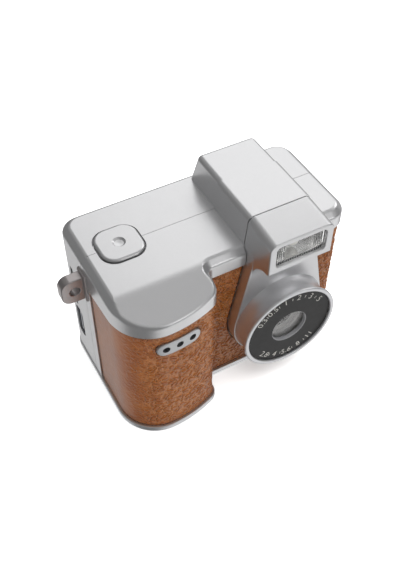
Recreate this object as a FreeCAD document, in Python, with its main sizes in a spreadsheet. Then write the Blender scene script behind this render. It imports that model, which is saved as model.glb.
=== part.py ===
import FreeCAD, Part
import math
import os
import re

import Sketcher
from FreeCAD import Placement, Rotation, Vector

# Keychain digital camera. Millimetres, +Z up, the lens looks along -Y.
# X is 0 at the middle of the body, Y is 0 where the two shells meet,
# and Z is 0 at the underside that the camera stands on.

# Driving sizes. Depths are counted from the joint of the two shells.
SIZES = {
    # outline of the body seen from above
    "body_width": 57.6,
    "body_height": 39.65,
    "rear_depth": 13.35,
    "front_depth": 13.75,
    "plan_radius": 4.3,
    # hand grip at the front left
    "grip_depth": 22.0,
    "grip_width": 21.8,
    "grip_corner_radius": 9.3,
    "grip_front_radius": 28.3,
    "grip_nose_radius": 2.8,
    "grip_root_radius": 1.6,
    "slope_setback": 0.52,
    "slope_angle": 17.0,
    "slope_round": 8.0,
    # walls and edges of the shells
    "wall_thick": 1.3,
    "top_wall": 1.4,
    "rear_wall": 1.4,
    "bevel_inset": 1.5,
    "bevel_drop": 1.5,
    "bevel_round": 1.1,
    "slope_edge_round": 1.0,
    "seam_width": 0.1,
    "seam_groove": 0.25,
    # base cover under both shells
    "rim_height": 1.45,
    "rim_proud": 0.25,
    "rim_round": 0.35,
    "rim_top_round": 0.22,
    # leather panels, let into the front shell
    "leather_recess": 0.3,
    "leather_thick": 0.5,
    "leather_rear_edge": 2.8,
    "side_band": 7.25,
    "grip_band": 5.65,
    "front_band": 4.65,
    "band_bend": 15.0,
    # hump over the lens
    "hump_inset": 18.07,
    "hump_rise": 7.38,
    "hump_base_half": 8.19,
    "hump_top_half": 7.38,
    "hump_rear_step": 0.25,
    "hump_round": 1.2,
    "hump_lip_round": 0.2,
    "hump_lean": 2.0,
    "hump_setback": 1.75,
    "hump_wall": 1.2,
    "seam_setback": 1.25,
    # front housing: mount plate and flash head
    "plate_proud": 2.25,
    "plate_radius": 11.75,
    "plate_draft": 0.15,
    "plate_round": 0.25,
    "neck_drop": 3.65,
    "head_proud": 5.28,
    "head_fall": 0.66,
    "head_drop": 1.51,
    "head_front_half": 7.6,
    "head_blend": 4.4,
    "head_round": 1.6,
    "head_wall": 1.2,
    "head_top_wall": 0.65,
    "head_edge_round": 0.3,
    "housing_gap": 0.05,
    # flash window and what lies behind it
    "window_side_border": 1.68,
    "window_low_border": 1.5,
    "window_top_border": 1.13,
    "window_round": 1.0,
    "window_gap": 0.06,
    "window_inset": 0.35,
    "window_thick": 1.3,
    "window_flange": 0.45,
    "reflector_depth": 3.2,
    "reflector_wall": 0.4,
    "reflector_floor": 0.5,
    "flash_board_thick": 0.8,
    "flash_light_radius": 1.6,
    "flash_light_foot": 0.5,
    # lens barrel
    "lens_z": 16.95,
    "barrel_length": 5.2,
    "rim_radius": 11.76,
    "rim_lip": 0.5,
    "rim_soft": 0.3,
    "barrel_base_radius": 11.4,
    "barrel_waist_radius": 11.0,
    "spigot_radius": 9.2,
    "spigot_length": 1.5,
    "barrel_bore_radius": 8.4,
    "lens_fit": 0.05,
    # lens parts on the axis
    "name_ring_radius": 10.7,
    "name_ring_thick": 0.9,
    "name_ring_inset": 0.5,
    "ring_notch": 0.6,
    "lens_opening_radius": 4.35,
    "ring_chamfer": 0.15,
    "opening_chamfer": 0.35,
    "lens_window_radius": 6.2,
    "lens_window_thick": 0.8,
    "baffle_length": 2.2,
    "baffle_mouth_radius": 5.2,
    "baffle_throat_radius": 3.0,
    "holder_radius": 4.2,
    "holder_proud": 0.6,
    "holder_bore_radius": 2.9,
    "holder_base_half": 5.6,
    "holder_base_thick": 1.6,
    "sensor_pocket_half": 3.6,
    "sensor_pocket_depth": 1.1,
    "front_lens_thick": 1.5,
    "rear_lens_thick": 1.2,
    "lens_spacing": 1.3,
    "lens_bulge": 0.35,
    "filter_half": 2.8,
    "filter_thick": 0.2,
    "sensor_half": 3.0,
    "sensor_thick": 0.75,
    "sensor_board_half": 6.2,
    "sensor_board_thick": 0.8,
    "flex_width": 6.0,
    "flex_thick": 0.15,
    "flex_drop": 6.0,
    "socket_height": 1.0,
    # shutter button
    "button_inset": 8.9,
    "button_y": 0.2,
    "button_side": 9.6,
    "button_gap": 0.35,
    "button_round": 3.2,
    "button_proud": 0.6,
    "button_travel": 0.6,
    "button_flange": 0.6,
    "button_flange_thick": 0.8,
    "button_edge_round": 0.55,
    "dimple_radius": 1.45,
    "dimple_depth": 0.45,
    "running_gap": 0.2,
    "shutter_switch_side": 5.0,
    "shutter_switch_height": 1.6,
    "shutter_plunger_radius": 1.4,
    "switch_floor": 0.15,
    "plunger_gap": 0.05,
    "shutter_board_thick": 0.8,
    "shutter_board_length": 12.0,
    "shutter_board_width": 10.4,
    "shutter_post_radius": 1.2,
    "shutter_post_y": 7.0,
    # main circuit board and what it carries
    "board_setback": 4.0,
    "board_thick": 1.0,
    "board_margin": 3.2,
    "board_low": 7.8,
    "board_drop": 8.35,
    "processor_side": 10.0,
    "processor_height": 1.0,
    "processor_x": 6.0,
    "processor_z": 20.0,
    "memory_x": -6.5,
    "memory_z": 20.0,
    "memory_length": 8.0,
    "memory_width": 6.0,
    "board_gap": 0.02,
    "usb_width": 8.94,
    "usb_height": 3.2,
    "usb_length": 7.3,
    "usb_wall": 0.3,
    "usb_corner": 1.2,
    "usb_z": 12.6,
    "usb_tongue": 0.7,
    "usb_inset": 0.25,
    "card_gap": 0.43,
    "card_top_margin": 0.2,
    "card_side": 1.1,
    "card_length": 11.4,
    "card_height": 1.9,
    "card_slot_height": 1.1,
    "card_inset": 0.2,
    "slot_margin": 0.2,
    # keys on the back
    "key_room": 0.8,
    "key_low_z": 9.7,
    "key_top_margin": 2.1,
    "key_spacing": 0.3,
    "key_gap": 0.15,
    "key_proud": 0.7,
    "key_travel": 0.5,
    "key_flange": 0.6,
    "key_flange_thick": 0.7,
    "key_edge_round": 0.3,
    "key_dish": 0.2,
    "key_switch_side": 3.4,
    "key_switch_height": 1.1,
    "key_plunger_radius": 0.9,
    # screen
    "cover_left": 16.0,
    "cover_right": 6.6,
    "cover_low": 6.0,
    "cover_drop": 6.25,
    "screen_thick": 2.2,
    "screen_frame": 0.9,
    "screen_side": 0.5,
    "screen_edge": 0.7,
    "view_border": 2.25,
    "cover_thick": 0.8,
    "cover_round": 1.6,
    "cover_gap": 0.06,
    # status light
    "light_inset": 1.75,
    "light_drop": 10.65,
    "light_radius": 0.75,
    "light_proud": 0.15,
    "light_gap": 0.05,
    "led_length": 1.6,
    "led_width": 0.8,
    "led_height": 0.6,
    # speaker over its holes in the base
    "speaker_x": -4.5,
    "speaker_y": 5.2,
    "speaker_length": 15.0,
    "speaker_width": 10.0,
    "speaker_height": 3.0,
    "speaker_hole_radius": 0.6,
    "speaker_hole_pitch": 2.2,
    # microphone plate on the grip
    "mic_inset": 11.4,
    "mic_drop": 10.2,
    "mic_length": 10.2,
    "mic_height": 3.6,
    "mic_pitch": 3.1,
    "mic_hole_radius": 0.8,
    "mic_gap": 0.08,
    "mic_edge_round": 0.2,
    "microphone_radius": 2.2,
    "microphone_height": 1.4,
    "microphone_inset": 0.4,
    # battery in the grip
    "battery_side": 7.2,
    "battery_thick": 6.2,
    "battery_front": 4.3,
    "battery_drop": 15.05,
    "battery_round": 1.5,
    "battery_left": 2.2,
    "battery_seat": 0.2,
    "lead_radius": 0.45,
    "lead_pitch": 1.4,
    "lead_bend": 1.8,
    "lead_rise": 3.2,
    # strap lug on the left side
    "lug_drop": 7.5,
    "lug_reach": 5.4,
    "lug_height": 6.5,
    "lug_thick": 2.5,
    "lug_corner": 2.2,
    "lug_hole_radius": 1.1,
    "lug_hole_x": 2.4,
    "lug_edge_round": 0.25,
    "collar_thick": 0.5,
    "collar_margin": 0.55,
    "collar_blend": 0.4,
    "neck_height": 4.6,
    "anchor_margin": 0.7,
    "anchor_thick": 1.0,
    "neck_gap": 0.05,
    # screws and their bosses
    "boss_radius": 2.2,
    "boss_length": 8.0,
    "low_screw_z": 5.2,
    "high_screw_drop": 5.65,
    "side_screw_inset": 3.7,
    "top_screw_inset": 17.8,
    "top_screw_drop": 3.45,
    "screw_radius": 0.75,
    "screw_head_radius": 1.4,
    "screw_head_height": 1.1,
    "screw_length": 11.0,
    "screw_seat": 6.0,
    "screw_gap": 0.1,
    "recess_slot": 0.35,
    "base_screw_length": 3.9,
    "base_boss_height": 3.9,
    "base_head_inset": 0.3,
    "base_head_height": 0.6,
    "base_screw_inset": 4.0,
    "base_left_gap": 0.2,
    "base_right_setback": 3.45,
    "base_rear_x": 9.0,
    "base_rear_setback": 3.35,
    "tiny_screw_radius": 0.5,
    "tiny_head_radius": 1.0,
    "tiny_head_height": 0.5,
    "tiny_screw_length": 3.0,
    "post_radius": 1.2,
    "post_left_gap": 0.15,
    "post_low_z": 10.4,
    "post_high_drop": 5.9,
    "post_right_gap": 0.8,
    "post_right_z": 19.5,
}

# Places and sizes that follow from the driving ones.
FOLLOWING = {
    # heights counted from the top of the body
    "side_band_low": "body_height - side_band",
    "grip_band_low": "body_height - grip_band",
    "front_band_low": "body_height - front_band",
    "neck_low": "body_height - neck_drop",
    "hump_top": "body_height + hump_rise",
    "head_front_top": "hump_top - head_fall",
    "head_front_low": "body_height - head_drop",
    "mic_z": "body_height - mic_drop",
    "lug_z": "body_height - lug_drop",
    "light_z": "body_height - light_drop",
    "high_screw_z": "body_height - high_screw_drop",
    "top_screw_z": "body_height - top_screw_drop",
    # depths counted from the front face, the mount plate and the back
    "slope_start": "front_depth - slope_setback",
    "seam_depth": "front_depth - seam_setback",
    "plate_depth": "front_depth + plate_proud",
    "head_depth": "plate_depth + head_proud",
    "rim_depth": "plate_depth + barrel_length",
    "holder_front_depth": "plate_depth + holder_proud",
    "hump_back_base": "rear_depth - hump_setback",
    "hump_back_top": "hump_back_base - hump_lean",
    "board_rear": "rear_depth - board_setback",
    # places counted from the sides
    "hump_x": "body_width / 2 - hump_inset",
    "button_x": "button_inset - body_width / 2",
    "mic_x": "mic_inset - body_width / 2",
    "top_screw_x": "top_screw_inset - body_width / 2",
    # window in the middle of the flash head
    "window_half": "head_front_half - window_side_border",
    "window_low": "head_front_low + window_low_border",
    "window_high": "head_front_top - window_top_border",
    # screen between the keys and the right side
    "cover_width": "body_width - cover_left - cover_right",
    "cover_height": "body_height - cover_low - cover_drop",
    "screen_x": "(cover_left - cover_right) / 2",
    "screen_z": "cover_low + cover_height / 2",
    "screen_width": "cover_width - 2 * screen_side",
    "screen_height": "cover_height - 2 * screen_edge",
    "view_width": "cover_width - 2 * view_border",
    "view_height": "cover_height - 2 * view_border",
    "light_x": "screen_x - cover_width / 2 - light_inset",
    # main board, its posts and what it carries
    "board_half_length": "body_width / 2 - board_margin",
    "board_high": "body_height - board_drop",
    "post_left_x": "screen_x - screen_width / 2 - screen_frame - post_left_gap - post_radius",
    "post_right_x": "screen_x + screen_width / 2 + screen_frame + post_right_gap + post_radius",
    "post_high_z": "board_high - post_high_drop",
    "card_low": "usb_z + usb_width / 2 + card_gap",
    "card_body_width": "board_high - card_top_margin - card_low",
    "card_width": "card_body_width - 2 * card_side",
    "card_z": "card_low + card_body_width / 2",
    "key_pitch": "(board_high - key_top_margin - key_low_z) / 3",
    "key_radius": "(key_pitch - key_spacing) / 2 - key_flange",
    "key_x": "light_x - light_radius - key_room - key_flange - key_radius",
    # battery in the grip and the screws of the base cover
    "battery_width": "grip_width - battery_side",
    "battery_height": "body_height - battery_drop",
    "battery_back": "grip_depth - battery_front - battery_thick",
    "base_left_x": "base_screw_inset - body_width / 2",
    "base_right_x": "body_width / 2 - base_screw_inset",
    "base_left_y": "boss_radius + base_left_gap - battery_back",
    "base_right_y": "base_right_setback - front_depth",
    "base_rear_y": "rear_depth - base_rear_setback",
}

doc = FreeCAD.newDocument("KeychainCamera")
sheet = doc.addObject("Spreadsheet::Sheet", "Sizes")
rows = list(SIZES.items()) + [(alias, "=" + formula) for alias, formula in FOLLOWING.items()]
for row, (alias, value) in enumerate(rows, 1):
    sheet.set(f"A{row}", alias.replace("_", " "))
    sheet.setAlias(f"B{row}", alias)
for row, (alias, value) in enumerate(rows, 1):
    sheet.set(f"B{row}", str(value))
doc.recompute()

ALIAS = re.compile(r"[a-z]+(?:_[a-z0-9]+)+")
SIDEWAYS = Rotation(Vector(0, 1, 0), 90)
UPWARD = Rotation()
TO_FRONT = Rotation(Vector(1, 0, 0), 90)
nodes = []


class SheetSizes:
    """Gives a driving size of the sheet by its name."""

    def __getattr__(self, name):
        return float(sheet.get(name))


size = SheetSizes()


def bind(thing, prop, formula):
    """Ties a property to a formula of the sheet's names."""
    thing.setExpression(prop, ALIAS.sub(r"Sizes.\g<0>", formula))


def put(thing, corner):
    """Ties an object's place to three formulas."""
    for axis, formula in zip("xyz", corner):
        bind(thing, f"Placement.Base.{axis}", formula)


def node(thing, label):
    """Makes an object one of the sub-parts."""
    thing.Label = label
    nodes.append(thing)
    return thing


# Primitives and booleans

def block(name, low, lengths):
    """Box from its low corner and its three lengths."""
    box = doc.addObject("Part::Box", name)
    for prop, formula in zip(("Length", "Width", "Height"), lengths):
        bind(box, prop, formula)
    put(box, low)
    return box


def rod(name, foot, radius, length, turn=UPWARD):
    """Cylinder from the middle of its foot."""
    cylinder = doc.addObject("Part::Cylinder", name)
    bind(cylinder, "Radius", radius)
    bind(cylinder, "Height", length)
    cylinder.Placement = Placement(Vector(), turn)
    put(cylinder, foot)
    return cylinder


def cut(name, base, tool):
    """First object less the second."""
    result = doc.addObject("Part::Cut", name)
    result.Base = base
    result.Tool = tool
    return result


def group(name, members):
    """Several solids kept as one object."""
    result = doc.addObject("Part::Compound", name)
    result.Links = members
    return result


# Bodies drawn as sketches

def plane_of(body, role):
    """Origin plane of a body."""
    return next(plane for plane in body.Origin.OriginFeatures if plane.Role == role)


def sketch(body, name, role, *loops):
    """Sketch on an origin plane; a loop is corners (across, up) or a circle (across, up, radius)."""
    drawing = body.newObject("Sketcher::SketchObject", name)
    drawing.AttachmentSupport = [(plane_of(body, role), "")]
    drawing.MapMode = "FlatFace"
    for loop in loops:
        if len(loop[0]) == 3:
            for circle in loop:
                draw_circle(drawing, circle)
        else:
            draw_polygon(drawing, loop)
    return drawing


def tie_point(drawing, edge, spot, start, formulas):
    """Ties one point of an edge to two formulas, counted from the sketch's origin."""
    for kind, formula, value in zip(("DistanceX", "DistanceY"), formulas, (start.x, start.y)):
        index = drawing.addConstraint(Sketcher.Constraint(kind, -1, 1, edge, spot, value))
        bind(drawing, f"Constraints[{index}]", formula)


def draw_polygon(drawing, corners):
    """Closed polygon whose corners are formulas."""
    count = len(corners)
    first = drawing.GeometryCount
    start = [
        Vector(math.cos(2 * math.pi * i / count), math.sin(2 * math.pi * i / count), 0)
        for i in range(count)
    ]
    for i in range(count):
        drawing.addGeometry(Part.LineSegment(start[i], start[(i + 1) % count]), False)
    for i in range(count):
        after = first + (i + 1) % count
        drawing.addConstraint(Sketcher.Constraint("Coincident", first + i, 2, after, 1))
    for i, corner in enumerate(corners):
        tie_point(drawing, first + i, 1, start[i], corner)


def draw_circle(drawing, circle):
    """Circle whose middle and radius are formulas."""
    edge = drawing.addGeometry(Part.Circle(Vector(1, 1, 0), Vector(0, 0, 1), 1), False)
    tie_point(drawing, edge, 3, Vector(1, 1, 0), circle[:2])
    index = drawing.addConstraint(Sketcher.Constraint("Radius", edge, 1))
    bind(drawing, f"Constraints[{index}]", circle[2])


def new_body(name, place=("0", "0", "0"), turn=UPWARD):
    """Empty body at its place."""
    body = doc.addObject("PartDesign::Body", name)
    body.Placement = Placement(Vector(), turn)
    put(body, place)
    return body


def padded(name, role, length, place, *loops, turn=UPWARD):
    """Body of one pad; from the XZ plane it grows towards the front."""
    body = new_body(name, place, turn)
    pad = body.newObject("PartDesign::Pad", name + "Pad")
    pad.Profile = sketch(body, name + "Outline", role, *loops)
    bind(pad, "Length", length)
    return body


def turned(name, place, corners, turn=UPWARD):
    """Body turned about its own Y axis from corners (radius, along)."""
    body = new_body(name, place, turn)
    drawing = sketch(body, name + "Profile", "XY_Plane", corners)
    turning = body.newObject("PartDesign::Revolution", name + "Turning")
    turning.Profile = drawing
    turning.ReferenceAxis = (drawing, ["V_Axis"])
    turning.Angle = 360
    return body


def rounded(body, name, radius, chosen, kind="PartDesign::Fillet"):
    """Rounds or bevels the edges of a body's tip that a test chooses."""
    doc.recompute()
    tip = body.Tip
    edges = [f"Edge{i}" for i, edge in enumerate(tip.Shape.Edges, 1) if chosen(edge)]
    soft = body.newObject(kind, name)
    soft.Base = (tip, edges)
    bind(soft, "Radius" if kind.endswith("Fillet") else "Size", radius)
    body.Tip = soft
    return body


def straight_along(axis):
    """Test for straight edges along one axis."""

    def chosen(edge):
        if edge.Curve.TypeId != "Part::GeomLine":
            return False
        return abs(edge.tangentAt(edge.FirstParameter).dot(axis)) > 0.999

    return chosen


def lies_at(axis, height, also=None):
    """Test for edges that lie in one plane across an axis."""

    def chosen(edge):
        box = edge.BoundBox
        low = Vector(box.XMin, box.YMin, box.ZMin).dot(axis)
        high = Vector(box.XMax, box.YMax, box.ZMax).dot(axis)
        flat = abs(low - height) < 1e-4 and abs(high - height) < 1e-4
        return flat and (also is None or also(edge))

    return chosen


X_AXIS = Vector(1, 0, 0)
Y_AXIS = Vector(0, 1, 0)
Z_AXIS = Vector(0, 0, 1)


def rectangle(half_across, half_up):
    """Corners of a rectangle about the sketch's origin."""
    return [
        (f"-({half_across})", f"-({half_up})"),
        (half_across, f"-({half_up})"),
        (half_across, half_up),
        (f"-({half_across})", half_up),
    ]


# Shapes built from the body's outline

def arc(centre, radius, start, end):
    """Arc from one angle to another, in degrees, in the plane Z = centre.z."""
    spots = []
    for angle in (start, (start + end) / 2, end):
        turn = math.radians(angle)
        spots.append(centre + Vector(radius * math.cos(turn), radius * math.sin(turn), 0))
    return Part.Arc(*spots).toShape()


def plan(grow, height):
    """Closed outline of the body seen from above, grown by grow, at a height."""
    left = -size.body_width / 2 - grow
    right = -left
    rear = size.rear_depth + grow
    front = -size.front_depth - grow
    tip = -size.grip_depth - grow
    inner = -size.body_width / 2 + size.grip_width + grow
    corner = size.plan_radius + grow
    broad = size.grip_corner_radius + grow
    long = size.grip_front_radius + grow
    nose = size.grip_nose_radius + grow
    root = size.grip_root_radius - grow
    apex = left + broad
    nose_x = inner - nose
    nose_y = tip + long - math.sqrt((long - nose) ** 2 - (nose_x - apex) ** 2)
    meet = math.degrees(math.atan2(nose_y - tip - long, nose_x - apex))

    def spot(across, along):
        return Vector(across, along, height)

    def line(*ends):
        return Part.LineSegment(*ends).toShape()

    return Part.Wire([
        line(spot(left, rear - corner), spot(left, tip + broad)),
        arc(spot(apex, tip + broad), broad, 180, 270),
        arc(spot(apex, tip + long), long, -90, meet),
        arc(spot(nose_x, nose_y), nose, meet, 0),
        line(spot(inner, nose_y), spot(inner, front - root)),
        arc(spot(inner + root, front - root), root, 180, 90),
        line(spot(inner + root, front), spot(right - corner, front)),
        arc(spot(right - corner, front + corner), corner, -90, 0),
        line(spot(right, front + corner), spot(right, rear - corner)),
        arc(spot(right - corner, rear - corner), corner, 0, 90),
        line(spot(right - corner, rear), spot(left + corner, rear)),
        arc(spot(left + corner, rear - corner), corner, 90, 180),
    ])


def prism(grow, low, high):
    """Upright solid on the outline, grown by grow."""
    return Part.Face(plan(grow, low)).extrude(Vector(0, 0, high - low))


def solid_box(low, high):
    """Box between two corners."""
    corner = Vector(*low)
    lengths = Vector(*high) - corner
    return Part.makeBox(lengths.x, lengths.y, lengths.z, corner)


def polygon_prism(corners, across):
    """Solid on a closed polygon, drawn out by a vector."""
    wire = Part.makePolygon(corners + [corners[0]])
    return Part.Face(wire).extrude(across)


REACH = 60.0
BEND_STEPS = 6


def round_edges(shape, radius, chosen):
    """Shape with the edges that a test chooses rounded."""
    return shape.makeFillet(radius, [edge for edge in shape.Edges if chosen(edge)])


def half_space(side):
    """Everything in front of the shells' joint (side -1) or behind it (side 1)."""
    low = min(0, side * REACH)
    return solid_box((-REACH, low, -REACH), (REACH, low + REACH, REACH))


def slope_cutter(sink, steps=BEND_STEPS):
    """Space above the grip's sloping top, lowered by sink; steps bend its start softly."""
    angle = math.radians(size.slope_angle)
    top = size.body_height - sink
    begin = -size.slope_start + size.slope_round * math.tan(angle / 2)
    right = -size.body_width / 2 + size.grip_width + size.grip_root_radius
    bend = [] if steps else [Vector(-REACH, -size.slope_start, top)]
    for step in range(steps + 1 if steps else 0):
        turn = angle * step / steps
        along = begin - size.slope_round * math.sin(turn)
        bend.append(Vector(-REACH, along, top - size.slope_round * (1 - math.cos(turn))))
    far = -size.grip_depth - size.plan_radius
    drop = (bend[-1].y - far) * math.tan(angle)
    high = size.hump_top + size.top_wall
    corners = bend + [
        Vector(-REACH, far, bend[-1].z - drop),
        Vector(-REACH, far, high),
        Vector(-REACH, bend[0].y, high),
    ]
    return polygon_prism(corners, Vector(REACH + right, 0, 0))


def body_solid():
    """Outside of both shells without the hump, from the base cover up."""
    shoulder = size.body_height - size.bevel_drop
    lower = prism(0, size.rim_height, shoulder)
    wires = [plan(0, shoulder), plan(-size.bevel_inset, size.body_height)]
    bevel = Part.makeLoft(wires, True, True)
    body = lower.fuse(bevel).removeSplitter()
    for height in (shoulder, size.body_height):
        body = round_edges(body, size.bevel_round, lies_at(Z_AXIS, height))
    body = body.cut(slope_cutter(0, 0))
    angle = math.radians(size.slope_angle)
    normal = Vector(0, -math.sin(angle), math.cos(angle))
    top = shoulder + size.bevel_round * math.tan(math.pi / 8)
    border = [
        edge
        for face in body.Faces
        if face.Surface.TypeId == "Part::GeomPlane"
        if abs(face.normalAt(0, 0).dot(normal)) > 1 - 1e-6
        for edge in face.Edges
        if edge.BoundBox.ZMax < top
    ]
    return body.makeFillet(size.slope_edge_round, border).cut(slope_cutter(0))


def cavity(wall):
    """Room inside a shell for a wall thickness, open at the base."""
    room = prism(-wall, size.rim_height - 1, size.body_height - size.top_wall)
    return room.cut(slope_cutter(size.top_wall))


def front_wall():
    """Depth of the front shell's wall from the casing's outline, behind the leather."""
    return size.leather_recess + size.leather_thick + size.wall_thick


def seam_groove(begin, above, below):
    """Shallow groove that draws a seam round the outside from one depth backwards."""
    slab = solid_box((-REACH, begin, above), (REACH, begin + size.seam_width, below))
    inset = size.seam_groove
    core = prism(-inset, -1, size.body_height - inset)
    half = size.hump_top_half - size.hump_rear_step - inset
    inner = solid_box(
        (size.hump_x - half, -REACH, 0),
        (size.hump_x + half, REACH, size.hump_top - inset),
    )
    return slab.cut([core, inner])


def hump_section(low_half, top_half, low, top, along):
    """Closed corners of the hump's upright section at one depth."""
    middle = size.hump_x
    return [
        Vector(middle - low_half, along, low),
        Vector(middle + low_half, along, low),
        Vector(middle + top_half, along, top),
        Vector(middle - top_half, along, top),
    ]


def hump_half(height):
    """Half-width of the hump's sides at a height."""
    taper = (size.hump_base_half - size.hump_top_half) / (size.hump_top - size.body_height)
    return size.hump_top_half + (size.hump_top - height) * taper


def hump_front():
    """Front stretch of the hump, from the seam to the shells' joint."""
    low = size.body_height - size.top_wall / 2
    section = hump_section(hump_half(low), size.hump_top_half, low, size.hump_top, 0)
    hump = polygon_prism(section, Vector(0, -size.seam_depth, 0))
    hump = round_edges(hump, size.hump_round, top_side_edge)
    return round_edges(hump, size.hump_lip_round, lip_edge)


def top_side_edge(edge):
    """Test for the two edges along the top of the hump."""
    along = straight_along(Y_AXIS)(edge)
    return along and edge.BoundBox.ZMin > size.hump_top - 0.01


def lip_edge(edge):
    """Test for the edges above the body where the hump and the front housing meet."""
    at_seam = lies_at(Y_AXIS, -size.seam_depth)(edge)
    return at_seam and edge.BoundBox.ZMax > size.body_height + 0.01


def hump_rear():
    """Rear stretch of the hump, a little narrower, with its sloping back."""
    low = size.body_height - size.top_wall / 2
    step = size.hump_rear_step
    lean = (size.hump_back_base - size.hump_back_top) / (size.hump_top - size.body_height)
    base_y = size.hump_back_base + (size.body_height - low) * lean
    foot = hump_section(hump_half(low) - step, size.hump_top_half - step, low, size.hump_top, 0)
    hump = polygon_prism(foot, Vector(0, size.rear_depth, 0))
    behind = polygon_prism(
        [
            Vector(-REACH, base_y, low),
            Vector(-REACH, size.hump_back_top, size.hump_top),
            Vector(-REACH, REACH, size.hump_top),
            Vector(-REACH, REACH, low),
        ],
        Vector(2 * REACH, 0, 0),
    )
    hump = hump.cut(behind)

    def chosen(edge):
        box = edge.BoundBox
        at_joint = box.YMax < 0.01
        at_foot = box.ZMax < low + 0.01
        across = box.ZMin > size.hump_top - 0.01 and box.YMin < 0.01 < box.YMax
        back = box.YMin > size.hump_back_top - 0.01
        return not at_joint and not at_foot and (across or back)

    return round_edges(hump, size.hump_round, chosen)


def hump_room(side):
    """Hollow of the hump on one side of the joint, open to the body below."""
    wall = size.hump_wall
    low = size.body_height - size.top_wall - 1
    step = size.hump_rear_step if side > 0 else 0
    inner_half = size.hump_top_half - wall - step
    section = hump_section(inner_half, inner_half, low, size.hump_top - wall, 0)
    reach = size.hump_back_top - 2 * wall if side > 0 else size.seam_depth
    return polygon_prism(section, Vector(0, side * reach, 0))


def leather_zone(band_drop=0.0):
    """Space that the leather covers, left and right of the grip's inner wall."""
    edge = -size.leather_rear_edge
    far = -size.grip_depth - 2
    low = size.rim_height
    inner = -size.body_width / 2 + size.grip_width
    corners = [
        Vector(-REACH, edge, low),
        Vector(-REACH, edge, size.side_band_low - band_drop),
        Vector(-REACH, -size.band_bend, size.grip_band_low - band_drop),
        Vector(-REACH, far, size.grip_band_low - band_drop),
        Vector(-REACH, far, low),
    ]
    left = polygon_prism(corners, Vector(REACH + inner, 0, 0))
    right = solid_box((inner, far, low), (REACH, edge, size.front_band_low - band_drop))
    return left.fuse(right)


def keyhole_wire(depth, grow):
    """Outline of the front housing at a depth, grown by grow."""
    taper = (depth - size.seam_depth) / (size.head_depth - size.seam_depth)
    top_half = size.hump_top_half + (size.head_front_half - size.hump_top_half) * taper + grow
    base_half = size.hump_base_half + (size.head_front_half - size.hump_base_half) * taper + grow
    draft = size.plate_draft * (depth - size.seam_depth) / (size.plate_depth - size.seam_depth)
    neck = size.hump_base_half - draft + grow
    radius = size.plate_radius - draft + grow
    rise = size.neck_low - size.lens_z
    direction = math.atan2(rise, neck) - math.acos(radius / math.hypot(neck, rise))
    across = radius * math.cos(direction)
    up = radius * math.sin(direction)
    corners = [
        (top_half, size.hump_top + grow),
        (base_half, size.body_height),
        (neck, size.neck_low),
        (across, size.lens_z + up),
    ]

    def spot(sideways, height):
        return Vector(size.hump_x + sideways, -depth, height)

    def lines(ends):
        return [Part.LineSegment(*pair).toShape() for pair in zip(ends, ends[1:])]

    left = [spot(-sideways, height) for sideways, height in corners]
    right = [spot(sideways, height) for sideways, height in reversed(corners)]
    below = spot(0, size.lens_z - radius)
    arch = Part.Arc(left[-1], below, right[0]).toShape()
    return Part.Wire(lines(left) + [arch] + lines(right) + lines([right[-1], left[0]]))


def keyhole(grow, near, far):
    """Seat of the front housing as a solid between two depths."""
    wire = keyhole_wire(size.seam_depth, grow)
    seat = Part.Face(wire).extrude(Vector(0, near - far, 0))
    seat.translate(Vector(0, size.seam_depth - near, 0))
    return seat


def lens_hole(radius, near, far):
    """Cylinder on the lens axis between two depths."""
    foot = Vector(size.hump_x, -far, size.lens_z)
    return Part.makeCylinder(radius, far - near, foot, Y_AXIS)


def along_y(radius, across, up, start, end):
    """Cylinder along Y from one Y to another."""
    return Part.makeCylinder(radius, end - start, Vector(across, start, up), Y_AXIS)


def case_screw_places():
    """Middle of each case screw (across, up)."""
    side = size.body_width / 2 - size.side_screw_inset
    return [
        (-side, size.low_screw_z),
        (side, size.low_screw_z),
        (side, size.high_screw_z),
        (size.top_screw_x, size.top_screw_z),
    ]


def joined(shapes):
    """All shapes fused."""
    return shapes[0].fuse(shapes[1:])


def button_well():
    """Opening for the shutter button through the top wall."""
    half = size.button_side / 2 + size.button_gap
    low = (size.button_x - half, size.button_y - half, size.body_height - size.top_wall - 1)
    high = (size.button_x + half, size.button_y + half, size.body_height + 1)
    well = solid_box(low, high)
    return round_edges(well, size.button_round + size.button_gap, straight_along(Z_AXIS))


def lug_opening():
    """Slot through the side wall for the lug's neck, half in each shell."""
    across = size.body_width / 2
    half_y = size.lug_thick / 2 + size.neck_gap
    half_z = size.neck_height / 2 + size.neck_gap
    low = (-across - 1, -half_y, size.lug_z - half_z)
    high = (-across + front_wall() + 1, half_y, size.lug_z + half_z)
    return solid_box(low, high)


def shell_feature(label, shape):
    """Sub-part whose shape is set here."""
    feature = doc.addObject("Part::Feature", label)
    feature.Shape = shape
    feature.Placement = Placement()
    return node(feature, label)


def base_boss(across, along):
    """Boss for a screw of the base cover."""
    foot = Vector(across, along, size.rim_height)
    return Part.makeCylinder(size.boss_radius, size.base_boss_height, foot)


def base_pilot(across, along):
    """Hole for a screw of the base cover in its boss."""
    foot = Vector(across, along, size.rim_height - 1)
    depth = size.base_screw_length + 1 - size.base_head_inset
    return Part.makeCylinder(size.screw_radius + size.screw_gap / 2, depth, foot)


def mic_slab(grow, far, near):
    """Rounded bar shape of the microphone plate between two depths."""
    radius = size.mic_height / 2
    half = size.mic_length / 2 - radius
    low = (size.mic_x - half, -far, size.mic_z - radius - grow)
    high = (size.mic_x + half, -near, size.mic_z + radius + grow)
    ends = [
        along_y(radius + grow, size.mic_x + side * half, size.mic_z, -far, -near)
        for side in (-1, 1)
    ]
    return joined([solid_box(low, high)] + ends)


def mic_holes(far, near):
    """Three sound holes between two depths."""
    return joined([
        along_y(size.mic_hole_radius, size.mic_x + i * size.mic_pitch, size.mic_z, -far, -near)
        for i in (-1, 0, 1)
    ])


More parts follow.
